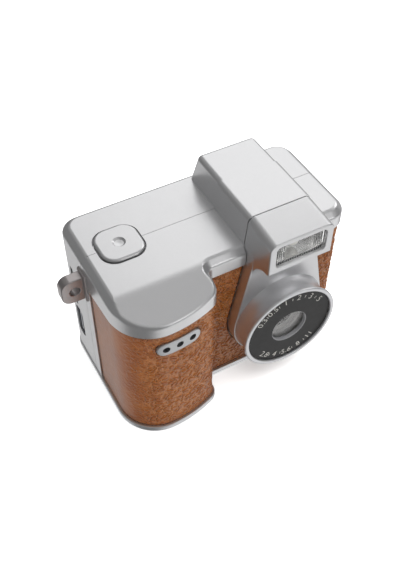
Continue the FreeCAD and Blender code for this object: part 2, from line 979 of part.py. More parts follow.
def make_front_shell():
    """Front half of the casing with the grip, its bosses and the seat of the front housing."""
    shell = joined([body_solid(), hump_front()])
    recess = size.leather_recess + size.leather_thick
    skin = prism(1, size.rim_height, size.body_height)
    skin = skin.cut(prism(-recess, size.rim_height - 1, size.body_height + 1))
    shell = shell.cut(skin.common(leather_zone()))
    shell = shell.cut(joined([cavity(front_wall()), hump_room(-1)]))
    bosses = []
    for across, up in case_screw_places():
        bosses.append(along_y(size.boss_radius, across, up, -size.boss_length, 0))
    bosses.append(base_boss(size.base_left_x, size.base_left_y))
    bosses.append(base_boss(size.base_right_x, size.base_right_y))
    post_top = size.body_height - size.top_wall / 2
    for side in (-1, 1):
        foot = Vector(shutter_post_x(side), -size.shutter_post_y, shutter_board_top())
        bosses.append(Part.makeCylinder(size.shutter_post_radius, post_top - foot.z, foot))
    outside = prism(0, size.rim_height, size.body_height).cut(slope_cutter(0))
    shell = shell.fuse([boss.common(outside) for boss in bosses])
    holes = []
    pilot = size.screw_radius + size.screw_gap / 2
    depth = size.screw_length - size.screw_seat + 0.5
    for across, up in case_screw_places():
        holes.append(along_y(pilot, across, up, -depth, 1))
    holes.append(base_pilot(size.base_left_x, size.base_left_y))
    holes.append(base_pilot(size.base_right_x, size.base_right_y))
    for side in (-1, 1):
        foot = Vector(shutter_post_x(side), -size.shutter_post_y, shutter_board_top() - 1)
        tiny = size.tiny_screw_radius + size.screw_gap / 2
        deep = 1 + size.tiny_screw_length - size.shutter_board_thick + size.screw_gap
        holes.append(Part.makeCylinder(tiny, deep, foot))
    holes.append(keyhole(size.housing_gap, size.seam_depth, size.head_depth))
    holes.append(lens_hole(size.holder_radius + size.lens_fit, 0, size.head_depth))
    holes.append(mic_holes(size.grip_depth + 1, size.front_depth))
    holes.append(button_well())
    holes.append(lug_opening())
    holes.append(seam_groove(-size.seam_depth, size.body_height, REACH))
    shell = shell.cut(holes).common(half_space(-1))
    shell_feature("front_shell", shell.removeSplitter())


def make_rear_shell():
    """Rear half of the casing with the screen opening, ports and key holes."""
    shell = joined([body_solid(), hump_rear()])
    shell = shell.cut(joined([cavity(size.rear_wall), hump_room(1)]))
    inner = size.rear_depth - size.rear_wall
    bosses = []
    for across, up in case_screw_places():
        bosses.append(along_y(size.boss_radius, across, up, 0, inner + 0.1))
    bosses.append(base_boss(size.base_rear_x, size.base_rear_y))
    for across, up in board_post_places():
        bosses.append(along_y(size.post_radius, across, up, size.board_rear, inner + 0.1))
    outside = prism(0, size.rim_height, size.body_height)
    shell = shell.fuse([boss.common(outside) for boss in bosses])
    holes = []
    for across, up in case_screw_places():
        clear = size.screw_radius + size.screw_gap
        holes.append(along_y(clear, across, up, -1, size.rear_depth))
        head = size.screw_head_radius + size.screw_gap
        holes.append(along_y(head, across, up, size.screw_seat, size.rear_depth + 1))
    holes.append(base_pilot(size.base_rear_x, size.base_rear_y))
    for across, up in board_post_places():
        tiny = size.tiny_screw_radius + size.screw_gap / 2
        holes.append(along_y(tiny, across, up, size.board_rear - 1, size.rear_depth - 0.6))
    for place in range(4):
        up = size.key_low_z + place * size.key_pitch
        radius = size.key_radius + size.key_gap
        holes.append(along_y(radius, size.key_x, up, inner - 1, size.rear_depth + 1))
    light = size.light_radius + size.light_gap
    holes.append(along_y(light, size.light_x, size.light_z, inner - 1, size.rear_depth + 1))
    holes += screen_openings() + side_openings()
    holes.append(button_well())
    holes.append(lug_opening())
    holes.append(seam_groove(0, 0, size.body_height + size.seam_width / 2))
    shell = shell.cut(holes).common(half_space(1))
    shell_feature("rear_shell", shell.removeSplitter())


def screen_openings():
    """Seat of the screen's cover and the window behind it."""
    half = size.cover_width / 2 + size.cover_gap
    tall = size.cover_height / 2 + size.cover_gap
    seat = size.rear_depth - size.cover_thick
    low = (size.screen_x - half, seat, size.screen_z - tall)
    high = (size.screen_x + half, size.rear_depth + 1, size.screen_z + tall)
    cover = round_edges(solid_box(low, high), size.cover_round, straight_along(Y_AXIS))
    half = size.view_width / 2
    tall = size.view_height / 2
    low = (size.screen_x - half, size.rear_depth - size.rear_wall - 1, size.screen_z - tall)
    high = (size.screen_x + half, size.rear_depth, size.screen_z + tall)
    return [cover, solid_box(low, high)]


def side_openings():
    """Openings of the charging port and the card slot through the left wall."""
    face = -size.body_width / 2
    inside = front_wall() + 1
    board_front = size.board_rear - size.board_thick
    middle = board_front - size.board_gap - size.usb_height / 2
    half = size.usb_width / 2 + size.slot_margin
    tall = size.usb_height / 2 + size.slot_margin
    low = (face - 1, middle - tall, size.usb_z - half)
    high = (face + inside, middle + tall, size.usb_z + half)
    port = round_edges(solid_box(low, high), size.usb_corner + size.slot_margin, straight_along(X_AXIS))
    middle = board_front - size.board_gap - size.card_height / 2
    half = size.card_width / 2 + size.slot_margin
    tall = size.card_slot_height / 2 + size.slot_margin
    low = (face - 1, middle - tall, size.card_z - half)
    high = (face + inside, middle + tall, size.card_z + half)
    return [port, solid_box(low, high)]


def board_post_places():
    """Posts that carry the main board (across, up)."""
    return [
        (size.post_left_x, size.post_low_z),
        (size.post_left_x, size.post_high_z),
        (size.post_right_x, size.post_right_z),
    ]


def shutter_post_x(side):
    """X of a post that carries the shutter board."""
    return size.button_x + side * (size.shutter_board_width / 2 - size.shutter_post_radius)


def shutter_board_top():
    """Height of the shutter board's upper face."""
    flange = size.body_height - size.top_wall - size.running_gap - size.button_flange_thick
    gap = size.button_travel + size.plunger_gap
    return flange - gap - size.shutter_switch_height


def make_base_cover():
    """Base cover with its proud rim, screw seats and speaker holes."""
    cover = prism(size.rim_proud, 0, size.rim_height)
    cover = round_edges(cover, size.rim_round, lambda edge: edge.BoundBox.ZMax < 0.01)
    cover = round_edges(cover, size.rim_top_round, lies_at(Z_AXIS, size.rim_height))
    holes = []
    for across, along in base_screw_places():
        clear = size.screw_radius + size.screw_gap
        holes.append(Part.makeCylinder(clear, 2 * size.rim_height, Vector(across, along, -1)))
        head = size.screw_head_radius + size.screw_gap
        depth = size.base_head_inset + size.base_head_height
        holes.append(Part.makeCylinder(head, depth + 1, Vector(across, along, -1)))
    for place in range(-2, 3):
        across = size.speaker_x + place * size.speaker_hole_pitch
        foot = Vector(across, size.speaker_y, -1)
        holes.append(Part.makeCylinder(size.speaker_hole_radius, 2 * size.rim_height + 1, foot))
    shell_feature("base_cover", cover.cut(holes))


def base_screw_places():
    """Middle of each screw of the base cover (across, along)."""
    return [
        (size.base_left_x, size.base_left_y),
        (size.base_right_x, size.base_right_y),
        (size.base_rear_x, size.base_rear_y),
    ]


def make_leather():
    """Two leather panels, one round the grip and one right of the front housing."""
    recess = size.leather_recess
    sheet_of_leather = prism(-recess, size.rim_height, size.body_height)
    under = prism(-recess - size.leather_thick, size.rim_height - 1, size.body_height + 1)
    sheet_of_leather = sheet_of_leather.cut(under).common(leather_zone())
    holes = [
        keyhole(size.housing_gap, 0, size.head_depth + 1),
        mic_slab(size.mic_gap, size.grip_depth + 1, size.front_depth + 2),
    ]
    sheet_of_leather = sheet_of_leather.cut(holes)
    middle = size.hump_x
    left = sheet_of_leather.common(solid_box((-REACH, -REACH, 0), (middle, REACH, REACH)))
    right = sheet_of_leather.common(solid_box((middle, -REACH, 0), (REACH, REACH, REACH)))
    shell_feature("grip_leather", left.removeSplitter())
    shell_feature("side_leather", right.removeSplitter())


def make_front_housing():
    """Front housing: keyhole mount plate and the flash head over it."""
    wires = [keyhole_wire(depth, 0) for depth in (size.seam_depth, size.plate_depth)]
    plate = Part.makeLoft(wires, True, True)
    plate = plate.cut(solid_box((-REACH, -REACH, size.body_height), (REACH, 0, REACH)))
    foot = size.head_front_low - size.head_blend
    sections = []
    for depth, top in ((size.seam_depth, size.hump_top), (size.head_depth, size.head_front_top)):
        taper = (depth - size.seam_depth) / (size.head_depth - size.seam_depth)
        top_half = size.hump_top_half + (size.head_front_half - size.hump_top_half) * taper
        base_half = size.hump_base_half + (size.head_front_half - size.hump_base_half) * taper
        corners = [(-base_half, foot), (-base_half, size.body_height), (-top_half, top),
                   (top_half, top), (base_half, size.body_height), (base_half, foot)]
        ring = [Vector(size.hump_x + across, -depth, up) for across, up in corners]
        sections.append(Part.makePolygon(ring + ring[:1]))
    head = Part.makeLoft(sections, True, True)
    inner = -size.plate_depth - size.head_blend
    below = solid_box((-REACH, -REACH, 0), (REACH, -size.plate_depth, size.head_front_low))
    corner = solid_box((-REACH, inner, foot), (REACH, -size.plate_depth, size.head_front_low))
    hollow = Part.makeCylinder(size.head_blend, 2 * REACH, Vector(-REACH, inner, foot), X_AXIS)
    head = head.cut(below.cut(corner.cut(hollow)))
    housing = joined([plate, head]).removeSplitter()

    def top_edge(edge):
        box = edge.BoundBox
        return box.ZMin > size.head_front_top - 0.01 and box.YLength > 3 and box.XLength < 1

    housing = round_edges(housing, size.head_round, top_edge)
    housing = round_edges(housing, size.hump_lip_round, lip_edge)
    housing = round_edges(housing, size.head_edge_round, lies_at(Y_AXIS, -size.head_depth))

    def plate_edge(edge):
        return lies_at(Y_AXIS, -size.plate_depth)(edge) and edge.BoundBox.ZMin < foot - 0.01

    housing = round_edges(housing, size.plate_round, plate_edge)
    wall = size.head_wall
    room = solid_box(
        (size.hump_x - size.head_front_half + wall, -size.head_depth + wall,
         size.window_low - wall / 2),
        (size.hump_x + size.head_front_half - wall, 0, size.head_front_top - size.head_top_wall),
    )
    opening = solid_box(
        (size.hump_x - size.window_half, -size.head_depth - 1, size.window_low),
        (size.hump_x + size.window_half, -size.seam_depth, size.window_high),
    )
    opening = round_edges(opening, size.window_round, straight_along(Y_AXIS))
    holes = [room, opening, lens_hole(size.spigot_radius + size.lens_fit, 0, size.head_depth)]
    housing = housing.cut(holes).removeSplitter()

    def mouth_edge(edge):
        box = edge.BoundBox
        inside = abs(box.Center.x - size.hump_x) < size.window_half + 0.01
        inside = inside and size.window_low - 0.01 < box.ZMin and box.ZMax < size.window_high + 0.01
        return inside and lies_at(Y_AXIS, -size.head_depth)(edge)

    shell_feature("front_housing", round_edges(housing, size.head_edge_round, mouth_edge))


def make_mic_plate():
    """Plate with three sound holes, curved like the grip."""
    recess = size.leather_recess + size.leather_thick
    slab = mic_slab(0, size.grip_depth + 1, size.front_depth + 2)
    outside = prism(0, 0, size.body_height)
    band = outside.cut(prism(-recess, -1, size.body_height + 1))

    def rim_edge(edge):
        middle = Part.Vertex(edge.valueAt((edge.FirstParameter + edge.LastParameter) / 2))
        return all(
            Part.makeCompound(shape.Faces).distToShape(middle)[0] < 0.001
            for shape in (slab, outside)
        )

    plate = round_edges(slab.common(band), size.mic_edge_round, rim_edge)
    plate = plate.cut(mic_holes(size.grip_depth + 1, size.front_depth))
    shell_feature("mic_plate", plate)


# Lens parts, turned about the lens axis. Along counts backwards from the shells' joint.

LENS_PLACE = ("hump_x", "0", "lens_z")
WAIST = 0.4
SEAT = "(rim_depth - name_ring_inset - name_ring_thick)"


def make_lens():
    """Barrel, rings, lenses and the sensor behind them."""
    flare = []
    for step in range(11):
        share = step / 10
        if share < WAIST:
            radius = f"barrel_base_radius - barrel_waist_radius) * {(1 - share / WAIST) ** 2:.4f}"
        else:
            bend = ((share - WAIST) / (1 - WAIST)) ** 2
            radius = f"rim_radius - barrel_waist_radius) * {bend:.4f}"
        depth = f"-(plate_depth + (rim_depth - rim_lip - plate_depth) * {share:.2f})"
        flare.append((f"barrel_waist_radius + ({radius}", depth))
    barrel = turned("Barrel", LENS_PLACE, [
        ("barrel_bore_radius", "-(plate_depth - spigot_length)"),
        ("spigot_radius", "-(plate_depth - spigot_length)"),
        ("spigot_radius", "-plate_depth"),
        *flare,
        ("rim_radius", "-rim_depth"),
        ("name_ring_radius + lens_fit", "-rim_depth"),
        ("name_ring_radius + lens_fit", f"-{SEAT}"),
        ("barrel_bore_radius", f"-{SEAT}"),
    ])
    rounded(barrel, "RimRound", "rim_soft", lies_at(Y_AXIS, -size.rim_depth))
    node(barrel, "lens_barrel")
    ring = turned("NameRing", LENS_PLACE, [
        ("lens_opening_radius", f"-{SEAT}"),
        ("name_ring_radius", f"-{SEAT}"),
        ("name_ring_radius", "-(rim_depth - name_ring_inset)"),
        ("lens_opening_radius + ring_chamfer", "-(rim_depth - name_ring_inset)"),
        ("lens_opening_radius", "-(rim_depth - name_ring_inset - ring_chamfer)"),
    ])
    doc.recompute()
    before = ring.Shape.Volume
    notch = ring.newObject("PartDesign::Pocket", "RingNotch")
    notch.Profile = sketch(ring, "NotchOutline", "XZ_Plane", [
        ("-ring_notch", "-name_ring_radius - ring_notch"),
        ("ring_notch", "-name_ring_radius - ring_notch"),
        ("ring_notch", "-name_ring_radius + ring_notch"),
        ("-ring_notch", "-name_ring_radius + ring_notch"),
    ])
    notch.Reversed = True
    bind(notch, "Length", "rim_depth")
    doc.recompute()
    if ring.Shape.Volume >= before:
        raise ValueError("the ring's notch cuts nothing")
    node(ring, "lens_ring")
    window = turned("LensWindow", LENS_PLACE, [
        ("0", f"-({SEAT} - lens_window_thick)"),
        ("lens_window_radius", f"-({SEAT} - lens_window_thick)"),
        ("lens_window_radius", f"-{SEAT}"),
        ("0", f"-{SEAT}"),
    ])
    node(window, "lens_window")
    front = f"({SEAT} - lens_window_thick)"
    baffle = turned("Baffle", LENS_PLACE, [
        ("barrel_bore_radius - lens_fit", f"-{SEAT}"),
        ("lens_window_radius + lens_fit", f"-{SEAT}"),
        ("lens_window_radius + lens_fit", f"-{front}"),
        ("baffle_mouth_radius", f"-{front}"),
        ("baffle_throat_radius", f"-({front} - baffle_length)"),
        ("baffle_throat_radius + opening_chamfer", f"-({front} - baffle_length)"),
        ("baffle_mouth_radius + opening_chamfer", f"-({front} - lens_window_thick)"),
        ("barrel_bore_radius - lens_fit", f"-({front} - lens_window_thick)"),
    ])
    node(baffle, "lens_baffle")
    make_lens_holder()
    make_glass("front_lens", "holder_front_depth - opening_chamfer", "front_lens_thick")
    rear = "holder_front_depth - opening_chamfer - front_lens_thick - lens_spacing"
    make_glass("rear_lens", rear, "rear_lens_thick")
    half = "filter_half"
    pocket = f"({HOLDER_BACK} + sensor_pocket_depth)"
    plate = padded("Filter", "XZ_Plane", "filter_thick",
                   ("hump_x", f"-{pocket} + filter_thick", "lens_z"), rectangle(half, half))
    node(plate, "infrared_filter")
    chip = block("Sensor",
                 ("hump_x - sensor_half", f"-({HOLDER_BACK} - lens_fit) - sensor_thick",
                  "lens_z - sensor_half"),
                 ("2 * sensor_half", "sensor_thick", "2 * sensor_half"))
    node(chip, "image_sensor")
    board = block("SensorBoard",
                  ("hump_x - sensor_board_half", f"-({HOLDER_BACK} - lens_fit)",
                   "lens_z - sensor_board_half"),
                  ("2 * sensor_board_half", "sensor_board_thick", "2 * sensor_board_half"))
    node(board, "sensor_board")


# The holder's base lies behind the front wall of the shell.
FRONT_WALL = "(front_depth - leather_recess - leather_thick - wall_thick)"
HOLDER_BACK = f"({FRONT_WALL} - lens_fit - holder_base_thick)"


def make_lens_holder():
    """Threadless lens holder: barrel, square base and a pocket for the sensor."""
    holder = padded("Holder", "XZ_Plane", "holder_base_thick", ("hump_x", f"-{HOLDER_BACK}", "lens_z"),
                    rectangle("holder_base_half", "holder_base_half"),
                    [("0", "0", "holder_bore_radius")])
    rounded(holder, "HolderCorners", "opening_chamfer * 2", straight_along(Y_AXIS))
    doc.recompute()
    tube = holder.newObject("PartDesign::Pad", "HolderTube")
    tube.Profile = sketch(holder, "HolderRing", "XZ_Plane",
                          [("0", "0", "holder_radius")], [("0", "0", "holder_bore_radius")])
    bind(tube, "Length", f"holder_front_depth - {HOLDER_BACK}")
    doc.recompute()
    before = tube.Shape.Volume
    pocket = holder.newObject("PartDesign::Pocket", "SensorPocket")
    pocket.Profile = sketch(holder, "PocketOutline", "XZ_Plane",
                            rectangle("sensor_pocket_half", "sensor_pocket_half"))
    pocket.Reversed = True
    bind(pocket, "Length", "sensor_pocket_depth")
    doc.recompute()
    if pocket.Shape.Volume >= before:
        raise ValueError("the sensor pocket cuts nothing")
    node(holder, "lens_holder")


def make_glass(label, front, thick):
    """Lens with two domed faces in the holder's bore."""
    glass = new_body(label.title().replace("_", ""), LENS_PLACE)
    radius = "holder_bore_radius - lens_fit"
    half = f"({radius}) / 2"
    drawing = sketch(glass, label + "_profile", "XY_Plane", [
        ("0", f"-({front})"),
        (half, f"-({front}) + lens_bulge / 4"),
        (radius, f"-({front}) + lens_bulge"),
        (radius, f"-({front} - {thick}) - lens_bulge"),
        (half, f"-({front} - {thick}) - lens_bulge / 4"),
        ("0", f"-({front} - {thick})"),
    ])
    turning = glass.newObject("PartDesign::Revolution", label + "_turning")
    turning.Profile = drawing
    turning.ReferenceAxis = (drawing, ["V_Axis"])
    turning.Angle = 360
    node(glass, label)


def make_flash():
    """Window, reflector and light of the flash."""
    middle = "(window_low + window_high) / 2"
    tall = "(window_high - window_low) / 2 - window_gap"
    front = "(head_depth - window_inset)"
    window = padded("FlashWindow", "XZ_Plane", "window_thick",
                    ("hump_x", f"-({front} - window_thick)", middle),
                    rectangle("window_half - window_gap", tall))
    rounded(window, "FlashWindowCorners", "window_round", straight_along(Y_AXIS))
    doc.recompute()
    flange = window.newObject("PartDesign::Pad", "FlashWindowFlange")
    flange.Profile = sketch(window, "FlangeOutline", "XZ_Plane",
                            rectangle("window_half + window_flange", f"{tall} + window_flange"))
    bind(flange, "Length", "window_thick + window_inset - head_wall - window_gap")
    node(window, "flash_window")
    back = f"({front} - window_thick - window_gap)"
    reflector = padded("Reflector", "XZ_Plane", "reflector_depth",
                       ("hump_x", f"-{back} + reflector_depth", middle),
                       rectangle("window_half", tall))
    doc.recompute()
    bowl = reflector.newObject("PartDesign::Pocket", "ReflectorBowl")
    bowl.Profile = sketch(reflector, "BowlOutline", "XZ_Plane",
                          rectangle("window_half - reflector_wall", f"{tall} - reflector_wall"))
    bowl.Reversed = True
    bind(bowl, "Length", "reflector_depth")
    doc.recompute()
    floor = reflector.newObject("PartDesign::Pad", "ReflectorFloor")
    floor.Profile = sketch(reflector, "FloorOutline", "XZ_Plane",
                           rectangle("window_half - reflector_wall", f"{tall} - reflector_wall"),
                           [("0", "0", "flash_light_radius + lens_fit")])
    bind(floor, "Length", "reflector_floor")
    node(reflector, "flash_reflector")
    seat = f"({back} - reflector_depth - window_gap)"
    half = "(head_front_half - head_wall - 2 * lens_fit)"
    board = block("FlashBoard", (f"hump_x - {half}", f"-{seat}", "window_low"),
                  (f"2 * {half}", "flash_board_thick", "window_high - window_low"))
    node(board, "flash_board")
    dome = [
        (f"flash_light_radius * {math.cos(math.radians(turn)):.4f}",
         f"-flash_light_foot - flash_light_radius * {math.sin(math.radians(turn)):.4f}")
        for turn in range(0, 90, 15)
    ]
    light = turned("FlashLight", ("hump_x", f"-{seat} - board_gap", middle), [
        ("0", "0"),
        ("flash_light_radius", "0"),
        *dome,
        ("0", "-flash_light_foot - flash_light_radius"),
    ])
    node(light, "flash_light")


FLANGE_TOP = "(body_height - top_wall - running_gap)"
SWITCH_TOP = f"({FLANGE_TOP} - button_flange_thick - button_travel - plunger_gap)"
SHUTTER_BOARD_TOP = f"({SWITCH_TOP} - shutter_switch_height)"


def make_shutter():
    """Shutter button, its switch, board and screws."""
    rise = f"(body_height + button_proud - {FLANGE_TOP} + button_flange_thick)"
    place = ("button_x", "button_y", f"{FLANGE_TOP} - button_flange_thick")
    button = padded("Button", "XY_Plane", rise, place, rectangle("button_side / 2", "button_side / 2"))
    rounded(button, "ButtonCorners", "button_round", straight_along(Z_AXIS))
    doc.recompute()
    flange = button.newObject("PartDesign::Pad", "ButtonFlange")
    reach = "button_side / 2 + button_flange"
    flange.Profile = sketch(button, "FlangeOutline", "XY_Plane", rectangle(reach, reach))
    bind(flange, "Length", "button_flange_thick")
    doc.recompute()
    top = size.body_height + size.button_proud
    top -= size.body_height - size.top_wall - size.running_gap - size.button_flange_thick
    rounded(button, "ButtonEdge", "button_edge_round", lies_at(Z_AXIS, top))
    doc.recompute()
    before = button.Shape.Volume
    dimple = button.newObject("PartDesign::Groove", "ButtonDimple")
    drawing = sketch(button, "DimpleProfile", "XZ_Plane", [
        ("0", f"{rise} - dimple_depth"),
        ("dimple_radius * 0.7", f"{rise} - dimple_depth * 0.8"),
        ("dimple_radius", rise),
        ("dimple_radius", f"{rise} + dimple_depth"),
        ("0", f"{rise} + dimple_depth"),
    ])
    dimple.Profile = drawing
    dimple.ReferenceAxis = (drawing, ["V_Axis"])
    dimple.Angle = 360
    doc.recompute()
    if button.Shape.Volume >= before:
        raise ValueError("the dimple cuts nothing")
    node(button, "shutter_button")
    side = "shutter_switch_side"
    case = block("ShutterSwitchCase",
                 (f"button_x - {side} / 2", f"button_y - {side} / 2", SHUTTER_BOARD_TOP),
                 (side, side, "shutter_switch_height"))
    bore = rod("ShutterSwitchBore",
               ("button_x", "button_y", f"{SHUTTER_BOARD_TOP} + switch_floor"),
               "shutter_plunger_radius + plunger_gap", "shutter_switch_height")
    node(cut("ShutterSwitch", case, bore), "shutter_switch")
    foot = f"({SHUTTER_BOARD_TOP} + switch_floor + button_travel + plunger_gap)"
    plunger = rod("ShutterPlunger", ("button_x", "button_y", foot), "shutter_plunger_radius",
                  f"{FLANGE_TOP} - button_flange_thick - board_gap - {foot}")
    node(plunger, "shutter_plunger")
    half = "(shutter_board_width / 2)"
    posts = [(f"{sign}({half} - shutter_post_radius)", "0", "tiny_screw_radius + screw_gap")
             for sign in ("-", "")]
    board = padded("ShutterBoard", "XY_Plane", "shutter_board_thick",
                   ("button_x", "-shutter_post_y", f"{SHUTTER_BOARD_TOP} - shutter_board_thick"),
                   [(f"-{half}", "-shutter_post_radius"), (half, "-shutter_post_radius"),
                    (half, "shutter_board_length - shutter_post_radius"),
                    (f"-{half}", "shutter_board_length - shutter_post_radius")],
                   posts)
    node(board, "shutter_board")
    screws = []
    for sign in ("-", ""):
        place = (f"button_x {sign or '+'} ({half} - shutter_post_radius)", "-shutter_post_y",
                 f"{SHUTTER_BOARD_TOP} - shutter_board_thick")
        screws.append(tiny_screw(f"ShutterScrew{len(screws)}", place, Rotation(X_AXIS, -90)))
    node(group("ShutterScrews", screws), "shutter_board_screws")


def tiny_screw(name, place, turn):
    """Small screw whose head's seat is at its place; its shank runs along its own -Y."""
    return turned(name, place, [
        ("0", "-(tiny_screw_length - 2 * lens_fit)"),
        ("tiny_screw_radius", "-(tiny_screw_length - 2 * lens_fit)"),
        ("tiny_screw_radius", "0"),
        ("tiny_head_radius", "0"),
        ("tiny_head_radius", "tiny_head_height"),
        ("0", "tiny_head_height"),
    ], turn)


def slotted_screw(name, place, turn, length, head):
    """Screw with a slotted head; its shank runs along its own -Y."""
    screw = turned(name, place, [
        ("0", f"-({length})"),
        ("screw_radius - recess_slot", f"-({length})"),
        ("screw_radius", f"-({length} - recess_slot)"),
        ("screw_radius", "0"),
        ("screw_head_radius", "0"),
        ("screw_head_radius", f"{head} - recess_slot / 2"),
        ("screw_head_radius - recess_slot / 2", head),
        ("0", head),
    ], turn)
    doc.recompute()
    before = screw.Shape.Volume
    slot = screw.newObject("PartDesign::Pocket", name + "Slot")
    slot.Profile = sketch(screw, name + "Cross", "XY_Plane",
                          [("-screw_head_radius * 0.65", f"{head} - recess_slot"),
                           ("screw_head_radius * 0.65", f"{head} - recess_slot"),
                           ("screw_head_radius * 0.65", f"{head} + recess_slot"),
                           ("-screw_head_radius * 0.65", f"{head} + recess_slot")])
    slot.Midplane = True
    bind(slot, "Length", "recess_slot")
    doc.recompute()
    if screw.Shape.Volume >= before:
        raise ValueError("the slot cuts nothing")
    return screw


def make_screws():
    """Case screws from the rear, base screws from below and board screws."""
    side = "(body_width / 2 - side_screw_inset)"
    places = [
        (f"-{side}", "low_screw_z"),
        (side, "low_screw_z"),
        (side, "high_screw_z"),
        ("top_screw_x", "top_screw_z"),
    ]
    screws = [
        slotted_screw(f"CaseScrew{i}", (across, "screw_seat", up), UPWARD,
                      "screw_length", "screw_head_height")
        for i, (across, up) in enumerate(places)
    ]
    node(group("CaseScrews", screws), "case_screws")
    places = [
        ("base_left_x", "base_left_y"),
        ("base_right_x", "base_right_y"),
        ("base_rear_x", "base_rear_y"),
    ]
    screws = [
        slotted_screw(f"BaseScrew{i}", (across, along, "base_head_inset + base_head_height"),
                      Rotation(X_AXIS, -90), "base_screw_length", "base_head_height")
        for i, (across, along) in enumerate(places)
    ]
    node(group("BaseScrews", screws), "base_screws")
    places = [
        ("post_left_x", "post_low_z"),
        ("post_left_x", "post_high_z"),
        ("post_right_x", "post_right_z"),
    ]
    screws = [
        tiny_screw(f"BoardScrew{i}", (across, "board_rear - board_thick", up), Rotation(Z_AXIS, 180))
        for i, (across, up) in enumerate(places)
    ]
    node(group("BoardScrews", screws), "board_screws")


def make_board():
    """Main circuit board with its chips, sockets and switches."""
    tiny = "tiny_screw_radius + screw_gap"
    board = padded("MainBoard", "XZ_Plane", "board_thick", ("0", "board_rear", "0"),
                   [("-board_half_length", "board_low"), ("board_half_length", "board_low"),
                    ("board_half_length", "board_high"), ("-board_half_length", "board_high")],
                   [("post_left_x", "post_low_z", tiny), ("post_left_x", "post_high_z", tiny),
                    ("post_right_x", "post_right_z", tiny)])
    node(board, "main_board")
    front = "(board_rear - board_thick - board_gap)"
    chip = block("Processor",
                 ("processor_x - processor_side / 2", f"{front} - processor_height",
                  "processor_z - processor_side / 2"),
                 ("processor_side", "processor_height", "processor_side"))
    node(chip, "processor")
    chip = block("Memory",
                 ("memory_x - memory_length / 2", f"{front} - processor_height",
                  "memory_z - memory_width / 2"),
                 ("memory_length", "processor_height", "memory_width"))
    node(chip, "memory_chip")
    make_usb_port(front)
    make_card_socket(front)
    switches = []
    for i, label in enumerate(KEYS):
        up = f"key_low_z + {i} * key_pitch"
        case = block(f"KeySwitchCase{i}",
                     ("key_x - key_switch_side / 2", "board_rear + board_gap",
                      f"{up} - key_switch_side / 2"),
                     ("key_switch_side", "key_switch_height", "key_switch_side"))
        bore = rod(f"KeySwitchBore{i}",
                   ("key_x", "board_rear + board_gap + 2 * key_switch_height", up),
                   "key_plunger_radius + plunger_gap", "2 * key_switch_height - switch_floor",
                   TO_FRONT)
        switches.append(cut(f"KeySwitch{i}", case, bore))
        foot = "(board_rear + board_gap + switch_floor + key_travel + plunger_gap)"
        plunger = rod(f"KeyPlunger{i}", ("key_x", KEY_PLUNGER_TOP, up), "key_plunger_radius",
                      f"{KEY_PLUNGER_TOP} - {foot}", TO_FRONT)
        node(plunger, f"{label}_plunger")
    node(group("KeySwitches", switches), "key_switches")


KEY_FLANGE_REAR = "(rear_depth - rear_wall - running_gap / 2)"
KEY_PLUNGER_TOP = f"({KEY_FLANGE_REAR} - key_flange_thick - board_gap)"
KEYS = ("down", "up", "menu", "power")


def make_usb_port(front):
    """Metal shell of the charging port with its tongue."""
    place = ("-body_width / 2 + usb_inset", f"{front} - usb_height / 2", "usb_z")
    outer = rectangle("usb_height / 2", "usb_width / 2")
    shell = padded("UsbShell", "YZ_Plane", "usb_length", place, outer)
    rounded(shell, "UsbShellRound", "usb_corner", straight_along(X_AXIS))
    doc.recompute()
    before = shell.Shape.Volume
    mouth = shell.newObject("PartDesign::Pocket", "UsbMouth")
    mouth.Profile = sketch(shell, "MouthOutline", "YZ_Plane",
                           rectangle("usb_height / 2 - usb_wall", "usb_width / 2 - usb_wall"))
    mouth.Reversed = True
    bind(mouth, "Length", "usb_length - 2 * usb_wall")
    doc.recompute()
    if shell.Shape.Volume >= before:
        raise ValueError("the port's mouth cuts nothing")
    tongue = shell.newObject("PartDesign::Pad", "UsbTongue")
    tongue.Profile = sketch(shell, "TongueOutline", "YZ_Plane",
                            rectangle("usb_tongue / 2", "usb_width / 2 - usb_corner"))
    bind(tongue, "Length", "usb_length - usb_wall")
    node(shell, "usb_port")


def make_card_socket(front):
    """Metal socket for a memory card, open towards the side wall."""
    place = ("-body_width / 2 + rear_wall + card_inset",
             f"{front} - card_height / 2", "card_z")
    socket = padded("CardSocket", "YZ_Plane", "card_length", place,
                    rectangle("card_height / 2", "card_body_width / 2"))
    doc.recompute()
    before = socket.Shape.Volume
    mouth = socket.newObject("PartDesign::Pocket", "CardMouth")
    mouth.Profile = sketch(socket, "CardMouthOutline", "YZ_Plane",
                           rectangle("card_slot_height / 2", "card_width / 2"))
    mouth.Reversed = True
    bind(mouth, "Length", "card_length - 2 * usb_wall")
    doc.recompute()
    if socket.Shape.Volume >= before:
        raise ValueError("the card socket's mouth cuts nothing")
    node(socket, "card_socket")


def make_keys():
    """Four round keys on the back, each with a flange that the wall holds in."""
    for i, label in enumerate(KEYS):
        flange = f"({KEY_FLANGE_REAR} - key_flange_thick)"
        face = "(rear_depth + key_proud)"
        key = turned(f"Key{i}", ("key_x", "0", f"key_low_z + {i} * key_pitch"), [
            ("0", flange),
            ("key_radius + key_flange", flange),
            ("key_radius + key_flange", KEY_FLANGE_REAR),
            ("key_radius", KEY_FLANGE_REAR),
            ("key_radius", f"{face} - key_edge_round"),
            ("key_radius - key_edge_round * 0.3", f"{face} - key_edge_round * 0.3"),
            ("key_radius - key_edge_round", face),
            ("key_radius * 0.75", face),
            ("key_radius * 0.4", f"{face} - key_dish * 0.85"),
            ("0", f"{face} - key_dish"),
        ])
        node(key, f"{label}_key")


